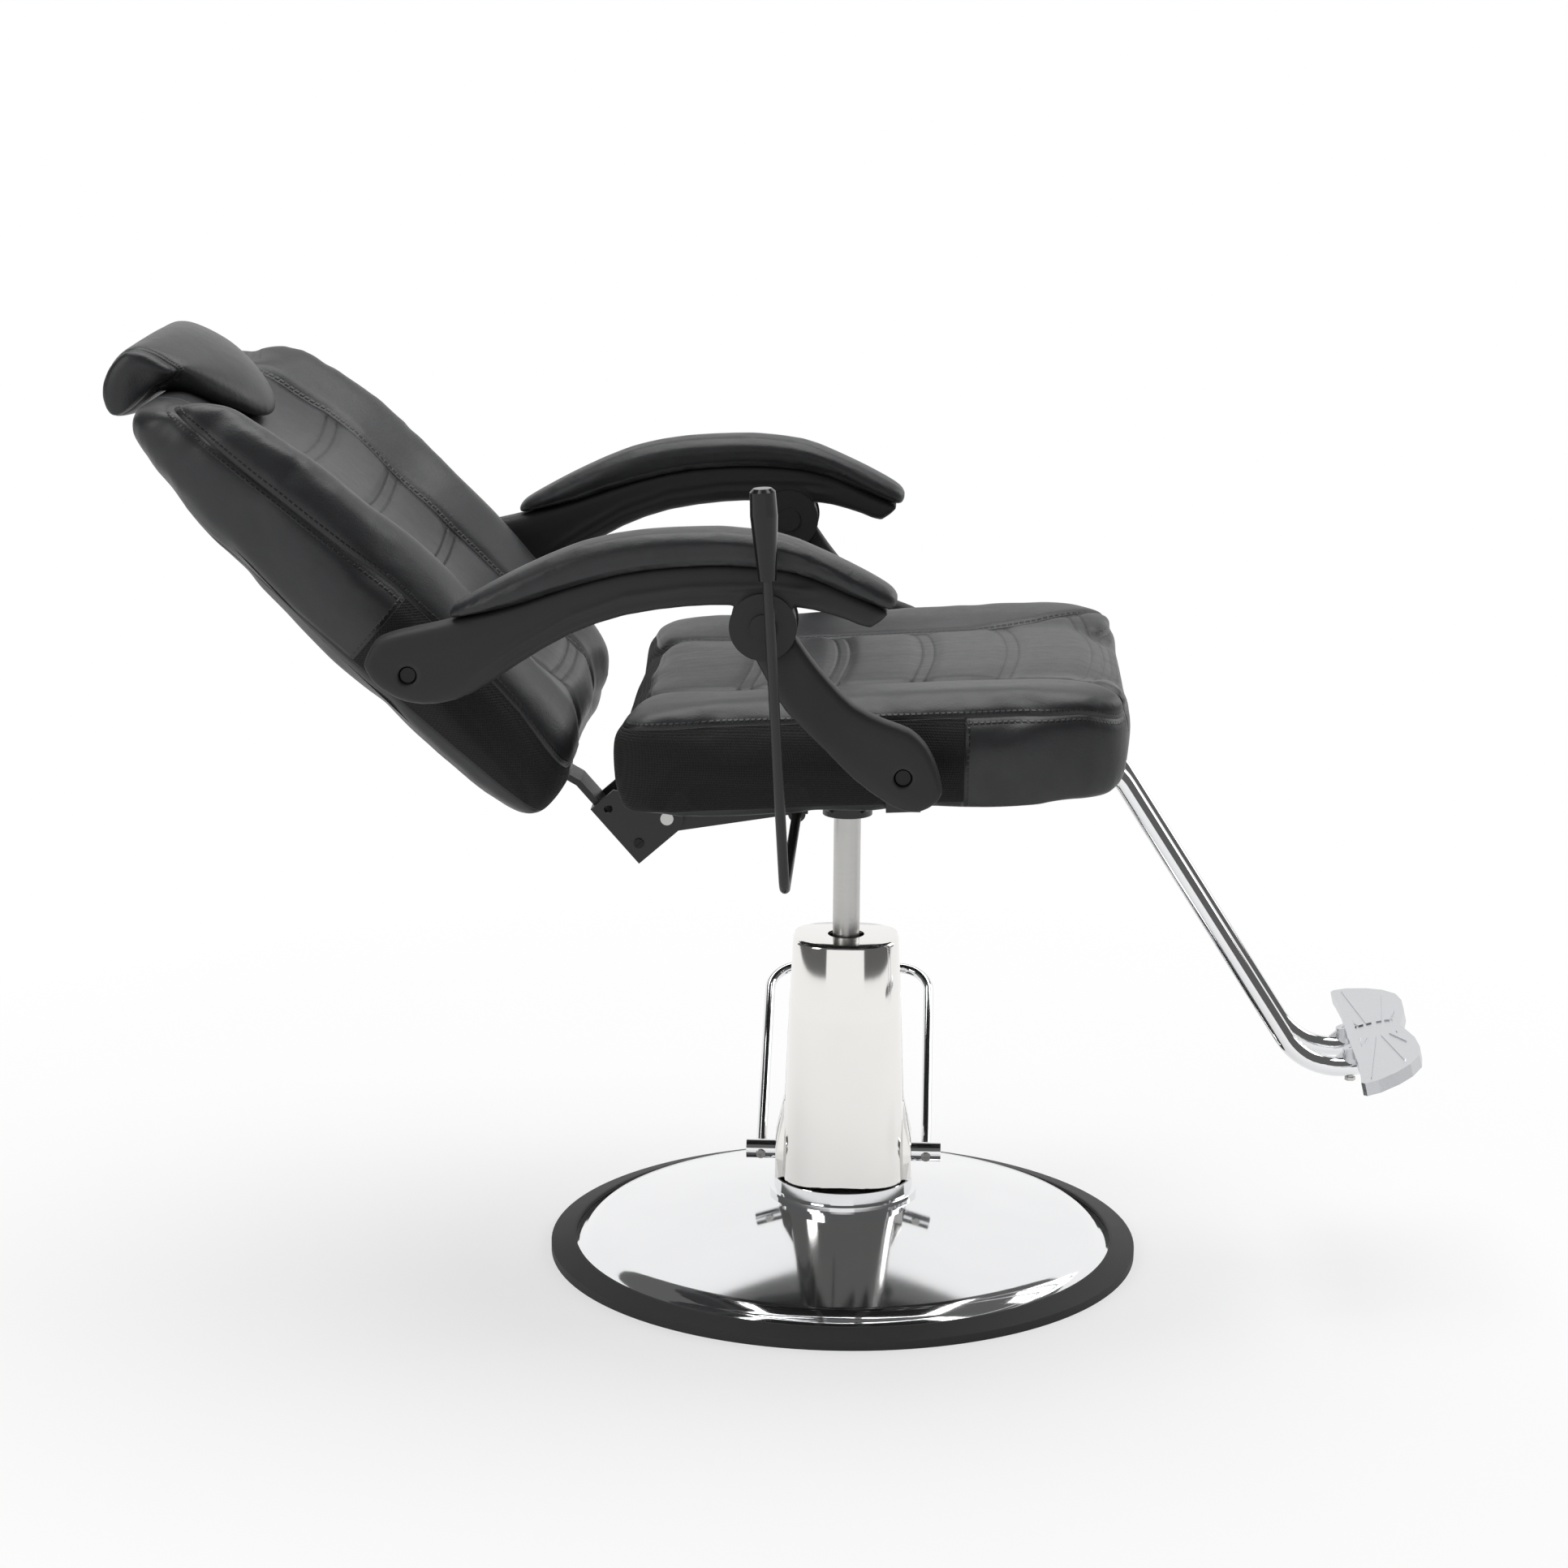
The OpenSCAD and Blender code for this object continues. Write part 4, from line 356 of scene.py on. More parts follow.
def set_points(obj, co):
    obj.data.vertices.foreach_set("co", np.asarray(co, float).ravel())
    obj.data.update()


def put(obj, name, values):
    """Stores a number at each point, for the materials to read"""
    layer = obj.data.attributes.new(name, "FLOAT", "POINT")
    layer.data.foreach_set("value", np.asarray(values, np.float32))


def link(name, mesh):
    obj = bpy.data.objects.new(name, mesh)
    scene.collection.objects.link(obj)
    return obj


def bake_modifiers(obj):
    """The piece's mesh takes what its modifiers make"""
    graph = bpy.context.evaluated_depsgraph_get()
    mesh = bpy.data.meshes.new_from_object(obj.evaluated_get(graph))
    obj.modifiers.clear()
    obj.data = mesh
    mesh.name = obj.name


def smooth(obj):
    obj.data.polygons.foreach_set("use_smooth", [True] * len(obj.data.polygons))


def from_bmesh(name, bm, material):
    mesh = bpy.data.meshes.new(name)
    bm.to_mesh(mesh)
    bm.free()
    mesh.materials.append(material)
    obj = link(name, mesh)
    smooth(obj)
    return obj


def joined_copy(name, node):
    """A new piece with a CAD node's shape, its triangles joined at their edges"""
    obj = link(name, nodes[node].data.copy())
    bm = bmesh.new()
    bm.from_mesh(obj.data)
    bmesh.ops.remove_doubles(bm, verts=bm.verts, dist=0.00002)
    bm.to_mesh(obj.data)
    bm.free()
    obj.data.materials.clear()
    return obj


def merged_copy(name, node, voxel, passes=6):
    """A new piece from a CAD node's shape, remeshed evenly and smoothed"""
    return evened(joined_copy(name, node), voxel, passes)


def evened(obj, voxel, passes):
    """Remeshes a piece evenly and smooths it"""
    remesh = obj.modifiers.new("even", "REMESH")
    remesh.mode, remesh.voxel_size = "VOXEL", voxel
    even = obj.modifiers.new("soft", "SMOOTH")
    even.factor, even.iterations = 0.5, passes
    bake_modifiers(obj)
    smooth(obj)
    return obj


CLOTH_FRAMES = 20


def puff(obj, cap, shrink=0.0, pressure=4.0, soften=10):
    """Cloth filled with air: the cover swells, each point by no more than the cap"""
    before = points(obj)
    if shrink:
        set_points(obj, before - normals(obj) * shrink)
    start = points(obj)
    cloth = obj.modifiers.new("cover", "CLOTH")
    cloth.settings.use_pressure = True
    cloth.settings.uniform_pressure_force = pressure
    cloth.settings.effector_weights.gravity = 0.0
    cloth.settings.quality = 4
    cloth.point_cache.frame_start, cloth.point_cache.frame_end = 1, CLOTH_FRAMES
    for number in range(1, CLOTH_FRAMES + 1):
        scene.frame_set(number)
    bake_modifiers(obj)
    scene.frame_set(1)
    move = points(obj) - start
    length = np.linalg.norm(move, axis=1, keepdims=True)
    move *= np.minimum(1.0, cap / np.maximum(length, 1e-9))
    set_points(obj, start + move)
    even = obj.modifiers.new("soft", "SMOOTH")
    even.factor, even.iterations = 0.5, soften
    fine = obj.modifiers.new("fine", "SUBSURF")
    fine.levels = fine.render_levels = 1
    bake_modifiers(obj)
    smooth(obj)
    return obj


def drill(obj, x, z, radius, y_from, y_to):
    """Cuts a round hole along Y"""
    bm = bmesh.new()
    place = Matrix.Translation((x, (y_from + y_to) / 2, z)) @ Matrix.Rotation(
        math.pi / 2, 4, "X")
    bmesh.ops.create_cone(bm, cap_ends=True, segments=48, radius1=radius, radius2=radius,
                          depth=abs(y_to - y_from), matrix=place)
    cutter = from_bmesh("cutter", bm, recess_shade_black)
    cut = obj.modifiers.new("hole", "BOOLEAN")
    cut.operation, cut.object, cut.solver = "DIFFERENCE", cutter, "EXACT"
    bake_modifiers(obj)
    bpy.data.objects.remove(cutter)


def sink(obj, distance, depth, width, where=1.0):
    """Sews a line down: points near it move in along their normals"""
    pull = depth * np.exp(-(distance / width) ** 2) * where
    set_points(obj, points(obj) - normals(obj) * pull[:, None])


def step(x, low, high):
    """0 below the low value and 1 above the high one, with a smooth rise"""
    t = np.clip((x - low) / (high - low), 0, 1)
    return t * t * (3 - 2 * t)


def from_pair(place, first, pitch):
    """Distance from the middle of the nearest pair of cross seams"""
    return np.abs((place - first + 10.5 * pitch) % pitch - 0.5 * pitch)


# ---------------------------------------------------------------- seat cushion
SEAT_SEAM_X = [-0.21, -0.19, -0.06, 0.11, 0.17, 0.215, 0.26]
SEAT_SEAM_Y = [0.126, 0.120, 0.112, 0.114, 0.136, 0.165, 0.200]
SEAT_SIDE_H = 0.0750
SEAT_MESH_X = 0.105
SEAT_PAIR, SEAT_PITCH = 0.149, 0.077
PAIR_HALF = 0.0055
NO_SEAM = 0.1    # stored as the distance where a seam has ended
# How far the cover's top lies under the solid's at the rear and at the front's corners, how
# far its valleys are filled at the rear, how much lower its underside is at the sides, and
# how much further its front reaches
REAR_DROP, CORNER_DROP, VALLEY_FILL, SIDE_DROP, FRONT_REACH = 0.005, 0.005, 0.005, 0.010, 0.005


def around(x, y, half_x, half_y):
    """Length run along a box's outline, from the direction of each point"""
    k = np.maximum(np.abs(x) / half_x, np.abs(y) / half_y)
    px, py = x / np.maximum(k, 1e-6), y / np.maximum(k, 1e-6)
    run = np.where(np.abs(px) >= half_x * 0.9999, py * np.sign(px), 0.0)
    return run + np.where(np.abs(py) >= half_y * 0.9999, -px * np.sign(py) + half_x + half_y, 0.0)


seat = merged_copy("seat_cover", "seat_cushion", voxel=0.0055)
p = points(seat)
x, aside = p[:, 0].copy(), np.abs(p[:, 1])
h = p[:, 2] - SEAT_Z - x * SEAT_SLOPE
lower = (1 - step(x, -0.21, -0.13)) * REAR_DROP
lower += step(x, 0.12, 0.24) * step(aside, 0.13, 0.22) * CORNER_DROP
p[:, 2] -= lower * step(h, 0.06, 0.12)
valley = np.exp(-((aside - np.interp(x, SEAT_SEAM_X, SEAT_SEAM_Y)) / 0.04) ** 2)
p[:, 2] += VALLEY_FILL * valley * (1 - step(x, -0.19, -0.09)) * step(h, 0.03, 0.10)
p[:, 2] -= SIDE_DROP * (1 - step(h, 0.0, 0.035)) * step(aside, 0.14, 0.19)
p[:, 0] += FRONT_REACH * step(x, 0.15, 0.25)
set_points(seat, p)
seat = puff(seat, cap=0.008, shrink=0.004)


def seat_lines(p):
    """Height over the board and the distances from the seat's seams"""
    x, y, z = p.T
    h = z - SEAT_Z - x * SEAT_SLOPE
    long_seam = np.abs(y) - np.interp(x, SEAT_SEAM_X, SEAT_SEAM_Y)
    bow = x + 0.009 * (y / 0.11) ** 2
    corner = 0.012 * step(x, 0.20, 0.25) * step(np.abs(y), 0.15, 0.21)
    return h, long_seam, bow, h - SEAT_SIDE_H + corner


p = points(seat)
h, long_seam, bow, side_seam = seat_lines(p)
top = step(h, 0.066, 0.074)
pair = from_pair(bow, SEAT_PAIR, SEAT_PITCH)
middle = step(-long_seam, 0.0, 0.006) * step(bow, -0.125, -0.12) * top
sink(seat, long_seam, depth=0.0034, width=0.0065,
     where=top * (0.3 + 0.7 * step(p[:, 0], -0.19, -0.12)))
sink(seat, np.maximum(pair - PAIR_HALF, 0), depth=0.0022, width=0.0065, where=middle)
sink(seat, side_seam, depth=0.0022, width=0.006)
p = points(seat)
h, long_seam, bow, side_seam = seat_lines(p)
put(seat, "long_seam", np.where(h > 0.05, long_seam, NO_SEAM))
put(seat, "bow", bow)
put(seat, "side_seam", side_seam)
put(seat, "height", h)
put(seat, "run", around(p[:, 0] - 0.023, p[:, 1], half_x=0.232, half_y=0.245))


def attribute(name):
    return lambda f: f.attribute(name)


def pair_lines(first, pitch, name):
    """The same for a material, from each line of the pair"""
    def distance(f):
        share = ((f.attribute(name) - first) / pitch + 10.5).math("FRACT")
        return abs((share - 0.5) * pitch) - PAIR_HALF
    return distance


def seat_mesh(f):
    under = (-1 * f.attribute("side_seam")).above(0.0006)
    behind = (SEAT_MESH_X - f.axis("X")).above(0.0008)
    above_board = (f.attribute("height") - 0.002).above(0.001)
    return diamond_weave(f), under * behind * above_board


def seat_pucker(f):
    inside = (-1 * f.attribute("long_seam") - 0.006).above(0.01)
    return f.noise(1.0, 2.0, where=f.stretch((8.0, 45.0, 15.0))) * inside * 0.0006


seat.data.materials.append(leather(
    "leather of the seat",
    seams=[
        (attribute("long_seam"), lambda f: f.axis("X"), (0.0045,), None),
        (pair_lines(SEAT_PAIR, SEAT_PITCH, "bow"), lambda f: f.axis("Y"), (0.0,),
         lambda f: (-1 * f.attribute("long_seam")).above(0.0008)
         * (f.attribute("height") - 0.06).above(0.001)
         * (f.attribute("bow") + 0.12).above(0.001)),
        (attribute("side_seam"), attribute("run"), (0.0040, -0.0040), None),
        (lambda f: f.axis("X") - SEAT_MESH_X, lambda f: f.axis("Z"), (0.0035,),
         lambda f: (-1 * f.attribute("side_seam")).above(0.0008)
         * (abs(f.axis("Y")) - 0.2).above(0.001)),
    ],
    mesh_area=seat_mesh, pucker=seat_pucker))
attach(seat, "seat")
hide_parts("seat_cushion")

# ---------------------------------------------------------------- back cushion
BACK_SEAM_U = [0.10, 0.12, 0.17, 0.245, 0.32, 0.37, 0.44, 0.48, 0.58, 0.60]
BACK_SEAM_Y = [0.070, 0.074, 0.086, 0.104, 0.108, 0.115, 0.125, 0.137, 0.139, 0.139]
WING_SEAM_U = [0.09, 0.10, 0.117, 0.176, 0.25, 0.33, 0.44, 0.57, 0.60]
WING_SEAM_V = [0.006, 0.010, 0.016, 0.032, 0.043, 0.047, 0.044, 0.040, 0.040]
REAR_SEAM_V = -0.026
BACK_MESH_U = 0.315
BACK_PAIR, BACK_PITCH = 0.4585, 0.0745


def in_back(p):
    """Places up the back, across it and out of it"""
    r = p - PIN
    return r @ BACK_UP, r[:, 1], r @ BACK_FRONT


def back_lines(p):
    """Places on the back and the distances from its seams"""
    u, y, v = in_back(p)
    long_seam = np.abs(y) - np.interp(u, BACK_SEAM_U, BACK_SEAM_Y)
    return (u, y, v, long_seam, u - 0.011 * (y / 0.133) ** 2,
            v - np.interp(u, WING_SEAM_U, WING_SEAM_V))


# How many times as wide the cover's head is as the solid's, and how far its wings lie
# in front of the solid's
WIDER_U = [0.46, 0.497, 0.539, 0.567, 0.587, 0.60]
WIDER = [1.0, 1.03, 1.09, 1.17, 1.29, 1.40]
WING_U = [0.10, 0.122, 0.152, 0.2, 0.24, 0.3, 0.5, 0.54, 0.57, 0.60]
WING_OUT = [0.003, 0.006, 0.0055, 0.002, -0.0018, -0.0025, -0.0024, -0.0045, -0.005, 0.0]
# The same of the head's rear, then how much further the top and the rear's sides reach, and
# the plane that the rear doesn't pass
REAR_U = [0.52, 0.54, 0.567, 0.587, 0.605]
REAR_OUT = [0.0, -0.0015, -0.0045, -0.009, -0.013]
TOP_REACH, REAR_SIDE_REACH, REAR_LIMIT_V = 0.006, 0.004, -0.0445
back = merged_copy("back_cover", "back_cushion", voxel=0.0058)
p = points(back)
u, y, v = in_back(p)
p[:, 1] *= np.interp(u, WIDER_U, WIDER)
p += (TOP_REACH * step(u, 0.56, 0.60))[:, None] * BACK_UP
move = np.interp(u, WING_U, WING_OUT) * step(v, 0.01, 0.045)
move += np.interp(u, REAR_U, REAR_OUT) * (1 - step(v, -0.01, 0.03))
move -= REAR_SIDE_REACH * step(np.abs(y), 0.17, 0.21) * (1 - step(v, -0.045, 0.0))
move += np.maximum(REAR_LIMIT_V - v - move, 0)
set_points(back, p + move[:, None] * BACK_FRONT)
back = puff(back, cap=0.005, shrink=0.0025, pressure=2.5)
u, y, v, long_seam, smile, wing_seam = back_lines(points(back))
front = step(normals(back) @ BACK_FRONT, 0.1, 0.4) * step(wing_seam, -0.002, 0.006)
pair = from_pair(smile, BACK_PAIR, BACK_PITCH)
inner = step(-long_seam, 0.0, 0.006) * step(smile, 0.125, 0.13) * step(-smile, -0.50, -0.495)
sink(back, long_seam, depth=0.0036, width=0.0065, where=front)
sink(back, np.maximum(pair - PAIR_HALF, 0), depth=0.0024, width=0.006, where=front * inner)
sink(back, wing_seam, depth=0.0024, width=0.007, where=step(-v, -0.075, -0.06))
p = points(back)
u, y, v, long_seam, smile, wing_seam = back_lines(p)
facing = normals(back) @ BACK_FRONT
put(back, "long_seam", np.where((facing > 0) & (v > 0.0), long_seam, NO_SEAM))
put(back, "smile", smile)
put(back, "wing_seam", np.where(np.abs(y) > 0.165, wing_seam, np.maximum(wing_seam, 0.01)))
put(back, "up_back", u)
put(back, "depth", v)
put(back, "run", around(u - 0.345, y, half_x=0.25, half_y=0.236))


def back_mesh(f):
    beside = (-1 * f.attribute("wing_seam")).above(0.0006)
    below = (BACK_MESH_U - f.attribute("up_back")).above(0.0008)
    ahead = (f.attribute("depth") - REAR_SEAM_V).above(0.0008)
    return diamond_weave(f), beside * below * ahead


back.data.materials.append(leather(
    "leather of the back",
    seams=[
        (attribute("long_seam"), attribute("up_back"), (0.0045,), None),
        (pair_lines(BACK_PAIR, BACK_PITCH, "smile"), lambda f: f.axis("Y"), (0.0,),
         lambda f: (-1 * f.attribute("long_seam")).above(0.0008)
         * (f.attribute("depth") - 0.01).above(0.001)
         * (f.attribute("smile") - 0.125).above(0.001)
         * (0.50 - f.attribute("smile")).above(0.001)),
        (attribute("wing_seam"), attribute("run"), (0.0045, -0.0045), None),
        (lambda f: f.attribute("depth") - REAR_SEAM_V, attribute("run"), (), None),
        (lambda f: f.attribute("up_back") - BACK_MESH_U, attribute("depth"), (0.0035,),
         lambda f: (-1 * f.attribute("wing_seam")).above(0.0008)
         * (f.attribute("depth") - REAR_SEAM_V).above(0.0008)),
    ],
    mesh_area=back_mesh))
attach(back, "back")
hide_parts("back_cushion")
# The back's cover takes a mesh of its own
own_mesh(back)

# ---------------------------------------------------------------- headrest
HEAD_SEAM_Y = 0.106
HEAD_HALF = 0.124
# Section of the headrest at its middle, up the back and out of it: a flap that lies on
# the back and a roll that hangs over its top
HEAD_RING = [
    (0.5035, 0.040), (0.509, 0.052), (0.5245, 0.0605), (0.547, 0.0655), (0.571, 0.0675),
    (0.595, 0.0655), (0.617, 0.060), (0.634, 0.050), (0.6435, 0.033), (0.6445, 0.010),
    (0.637, -0.011), (0.622, -0.025), (0.605, -0.0285), (0.598, -0.021), (0.597, 0.004),
    (0.598, 0.020), (0.575, 0.0265), (0.545, 0.029), (0.520, 0.031)]
# Places across its half width, and the shares there of the flap's length, of the crown
# and of the roll
HEAD_PLACES = [0, 0.2, 0.4, 0.58, 0.72, 0.84, 0.92, 0.97, 1.0]
HEAD_FLAP = [1, 0.96, 0.82, 0.62, 0.40, 0.20, 0.1, 0.06, 0.04]
HEAD_CROWN = [1, 0.97, 0.88, 0.78, 0.69, 0.6, 0.54, 0.5, 0.4]
HEAD_ROLL = [1, 1, 1, 1, 1, 0.99, 0.97, 0.93, 0.8]
# Where the flap ends, where the crown begins, and the middle of the roll
FLAP_END_U, CROWN_V, ROLL_U, ROLL_V = 0.599, 0.03, 0.612, 0.02


def head_point(u, v, place):
    """A point of the section, moved to a place across the headrest"""
    share = abs(place)
    if u < FLAP_END_U:
        u = FLAP_END_U - (FLAP_END_U - u) * np.interp(share, HEAD_PLACES, HEAD_FLAP)
    if v > CROWN_V:
        v = CROWN_V + (v - CROWN_V) * np.interp(share, HEAD_PLACES, HEAD_CROWN)
    roll = np.interp(share, HEAD_PLACES, HEAD_ROLL)
    u, v = ROLL_U + (u - ROLL_U) * roll, ROLL_V + (v - ROLL_V) * roll
    return PIN + BACK_UP * u + BACK_FRONT * v + np.array([0.0, place * HEAD_HALF, 0.0])


bm = bmesh.new()
places = [-a for a in HEAD_PLACES[:0:-1]] + HEAD_PLACES
rings = [[bm.verts.new(head_point(u, v, place)) for u, v in HEAD_RING] for place in places]
for one, two in zip(rings, rings[1:]):
    for i in range(len(one)):
        bm.faces.new((one[i], one[i - 1], two[i - 1], two[i]))
bm.faces.new(rings[0])
bm.faces.new(rings[-1][::-1])
bmesh.ops.recalc_face_normals(bm, faces=bm.faces)
mesh = bpy.data.meshes.new("headrest_cover")
bm.to_mesh(mesh)
bm.free()
head = link("headrest_cover", mesh)
head.modifiers.new("round", "SUBSURF").levels = 2
head = puff(evened(head, voxel=0.004, passes=6), cap=0.005, shrink=0.0025)
sink(head, np.abs(points(head)[:, 1]) - HEAD_SEAM_Y, depth=0.0015, width=0.005)
u, y, v = in_back(points(head))
put(head, "end_seam", np.abs(y) - HEAD_SEAM_Y)
put(head, "run", around(u - 0.60, v - 0.03, half_x=0.06, half_y=0.04))
head.data.materials.append(leather(
    "leather of the headrest",
    seams=[(attribute("end_seam"), attribute("run"), (0.0045, -0.0045), None)]))
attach(head, "headrest")
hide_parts("headrest_cushion")

# ---------------------------------------------------------------- armrests
pad_leather = leather("leather of the arm pads")
for side in ("right", "left"):
    pad = merged_copy("arm_cover_" + side, "arm_pad_" + side, voxel=0.0024, passes=1)
    pad = puff(pad, cap=0.002, soften=1)
    pad.data.materials.append(pad_leather)
    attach(pad, side + "_arm")
    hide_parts("arm_pad_" + side)

# Lower edge of the arm frame along it from the rear pivot, both as shares of ARM_LEN
ARM_X = [-0.0837, -0.0407, 0.0, 0.0588, 0.1267, 0.2149, 0.31, 0.414, 0.5339, 0.6176, 0.7104,
         0.776, 0.8394, 0.8824, 0.9163]
ARM_LOW = [0.0158, -0.0385, -0.0566, -0.0577, -0.0339, 0.0249, 0.0814, 0.1199, 0.1391, 0.1425,
           0.1425, 0.1357, 0.1176, 0.1041, 0.1335]
MOULD_VOXEL, MOULD_PASSES = 0.0022, 5
# Recess for a bolt's head: its radius, its depth, and how far the cutter starts outside
RECESS_RADIUS, RECESS_DEPTH, RECESS_OVER = 0.0078, 0.0085, 0.004


def recess(obj, node, place, sign):
    """Drills the recess into the outer face, at a place in X and Z"""
    low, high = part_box(node)
    face = (low if sign < 0 else high)[1]
    drill(obj, *place, RECESS_RADIUS, face + RECESS_OVER * sign, face - RECESS_DEPTH * sign)


for side, sign in (("right", -1), ("left", 1)):
    arm = merged_copy("arm_shell_" + side, "arm_frame_" + side, MOULD_VOXEL, MOULD_PASSES)
    p = points(arm)
    along = (p[:, 0] - ARM_REAR[0]) / ARM_LEN
    up = (p[:, 2] - ARM_REAR[1]) / ARM_LEN
    t = (up - np.interp(along, ARM_X, ARM_LOW)) * ARM_LEN
    flank = step(np.abs(normals(arm)[:, 1]), 0.6, 0.9)
    out = p[:, 1] * sign > ARM_Y
    # Along the lower edge run a groove and a ridge outside and two ridges inside, but not
    # round the hub
    reach = step(along, 0.10, 0.2) * step(-along, -0.80, -0.74)
    clear = 1 - step(-np.hypot(p[:, 0] - HUB[0], p[:, 2] - HUB[1]), -0.036, -0.031)
    ridge = np.exp(-((t - 0.017) / 0.0035) ** 2) * 0.0024
    ridge -= 0.0014 * step(t, 0.004, 0.012) * (1 - step(t, 0.014, 0.018))
    inside = np.exp(-((t - 0.012) / 0.003) ** 2) * 0.0016
    inside += np.exp(-((t - 0.022) / 0.003) ** 2) * 0.0013
    rise = np.where(out, ridge, inside) * flank * reach * clear
    set_points(arm, p + normals(arm) * rise[:, None])
    recess(arm, "arm_frame_" + side, ARM_REAR, sign)
    arm.data.materials.append(moulded)
    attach(arm, side + "_arm")
    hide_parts("arm_frame_" + side)

    strut = merged_copy("strut_shell_" + side, "strut_" + side, MOULD_VOXEL, MOULD_PASSES)
    recess(strut, "strut_" + side, STRUT_FOOT, sign)
    strut.data.materials.append(moulded)
    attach(strut, side + "_strut")
    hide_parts("strut_" + side)


# ---------------------------------------------------------------- chrome tubes
def route(corners, bends, segments=10):
    """Points of a route in X and Z that turns at each corner on its own radius"""
    corners = [Vector(c) for c in corners]
    line = [corners[0]]
    for a, b, c, radius in zip(corners, corners[1:], corners[2:], bends):
        go, leave = (b - a).normalized(), (c - b).normalized()
        across = (leave - go * go.dot(leave)).normalized()
        turn = abs(go.angle_signed(leave))
        start = b - go * (radius * math.tan(turn / 2))
        for k in range(segments + 1):
            angle = turn * (k / segments)
            line.append(start + go * (radius * math.sin(angle))
                        + across * (radius * (1 - math.cos(angle))))
    line.append(corners[-1])
    return line


def tube(name, line, radius, sides, material):
    """Round bar swept along points in space, closed at both ends"""
    curve = bpy.data.curves.new(name, "CURVE")
    curve.dimensions = "3D"
    curve.bevel_depth, curve.bevel_resolution = radius, sides // 4 - 1
    curve.use_fill_caps = True
    spline = curve.splines.new("POLY")
    spline.points.add(len(line) - 1)
    for point, place in zip(spline.points, line):
        point.co = (*place, 1.0)
    obj = link(name + "_line", curve)
    mesh = bpy.data.meshes.new_from_object(obj.evaluated_get(
        bpy.context.evaluated_depsgraph_get()))
    bpy.data.objects.remove(obj)
    bm = bmesh.new()
    bm.from_mesh(mesh)
    bmesh.ops.remove_doubles(bm, verts=bm.verts, dist=0.00001)
    bmesh.ops.recalc_face_normals(bm, faces=bm.faces)
    return from_bmesh(name, bm, material)


# Middle line of the footrest's tubes: rear end, knee, lower bend and front end
TUBE_R, TUBE_Y, BOARD_DROP, TUBE_GAP = 0.009, 0.033, 0.02, 0.0001
TUBE_REAR_X, TUBE_KNEE_X, TUBE_LOW_X, TUBE_FRONT_X = 0.112, 0.239, 0.427, 0.478
TUBE_FALL, TUBE_FRONT_RISE = math.radians(57.2), 0.008


def under_board(x):
    """Height of a tube's middle where it lies under the seat board"""
    return SEAT_Z + x * SEAT_SLOPE - BOARD_DROP + TUBE_R + TUBE_GAP


low_z = under_board(TUBE_KNEE_X) - (TUBE_LOW_X - TUBE_KNEE_X) * math.tan(TUBE_FALL)
foot_line = route([(TUBE_REAR_X, under_board(TUBE_REAR_X)),
                   (TUBE_KNEE_X, under_board(TUBE_KNEE_X)),
                   (TUBE_LOW_X, low_z), (TUBE_FRONT_X, low_z + TUBE_FRONT_RISE)],
                  [0.046, 0.062])
legs = [tube("footrest_leg", [(q.x, sign * TUBE_Y, q.y) for q in foot_line], TUBE_R,
             sides=32, material=chrome) for sign in (-1, 1)]
bm = bmesh.new()
for leg in legs:
    bm.from_mesh(leg.data)
    bpy.data.objects.remove(leg)
foot_tubes = from_bmesh("footrest_legs", bm, chrome)
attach(foot_tubes, "seat")
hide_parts("footrest_tubes")


# ---------------------------------------------------------------- smooth metal skins
# Each is shaded smooth up to an angle in degrees
for node, material, angle in (("pump_shroud", warm_chrome, 35), ("base_disc", base_chrome, 12)):
    skin = joined_copy(node + "_skin", node)
    smooth(skin)
    skin.data.set_sharp_from_angle(angle=math.radians(angle))
    skin.data.materials.append(material)
    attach(skin, "base")
    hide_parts(node)

# The back's crossbar doesn't reach out of the cover's rear, nor do its ends out of the
# rounded corners there
BAR_LIMIT_V, BAR_END_LIMIT_V, BAR_END_Y = -0.043, -0.012, 0.2
bar = joined_copy("crossbar_skin", "back_crossbar")
p = points(bar)
v = (p - PIN) @ BACK_FRONT
limit = np.where(np.abs(p[:, 1]) > BAR_END_Y, BAR_END_LIMIT_V, BAR_LIMIT_V)
set_points(bar, p + np.maximum(limit - v, 0)[:, None] * BACK_FRONT)
bar.data.materials.append(black_paint)
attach(bar, "back")
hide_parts("back_crossbar")

bpy.context.view_layer.update()

# ---------------------------------------------------------------- floor, light, camera
def seen_directly(tree):
    """1 for rays from the camera or a mirroring surface, 0 for the light that falls on things"""
    ray = tree.nodes.new("ShaderNodeLightPath")
    return Value(tree, ray.outputs["Is Camera Ray"]).math(
        "MAXIMUM", Value(tree, ray.outputs["Is Glossy Ray"]))


def glow(finish, strength):
    return finish.add("ShaderNodeEmission", Color=grey(1.0), Strength=strength)


def upright(name, label, place, width, height, strength):
    """White card across the Y axis. Its strength takes the material's node tree."""
    bpy.ops.mesh.primitive_plane_add(size=1, location=place, rotation=(math.pi / 2, 0, 0))
    obj = bpy.context.object
    obj.name, obj.scale = name, (width, height, 1)
    bpy.ops.object.transform_apply(location=True, rotation=True, scale=True)
    white = Finish(label)
    obj.data.materials.append(white.close(glow(white, strength(white.tree))))


FLOOR_SIZE = 240
GLOW_FROM, GLOW_OVER = 0.35, 0.95    # distance from the chair's middle, and the rise's length
bpy.ops.mesh.primitive_plane_add(size=FLOOR_SIZE)
floor = bpy.context.object
floor.name = "studio_floor"
paper = Finish("white studio floor")
seen = seen_directly(paper.tree)
matt = paper.add("ShaderNodeBsdfDiffuse", Color=grey(0.86))
lit = glow(paper, 1.0)
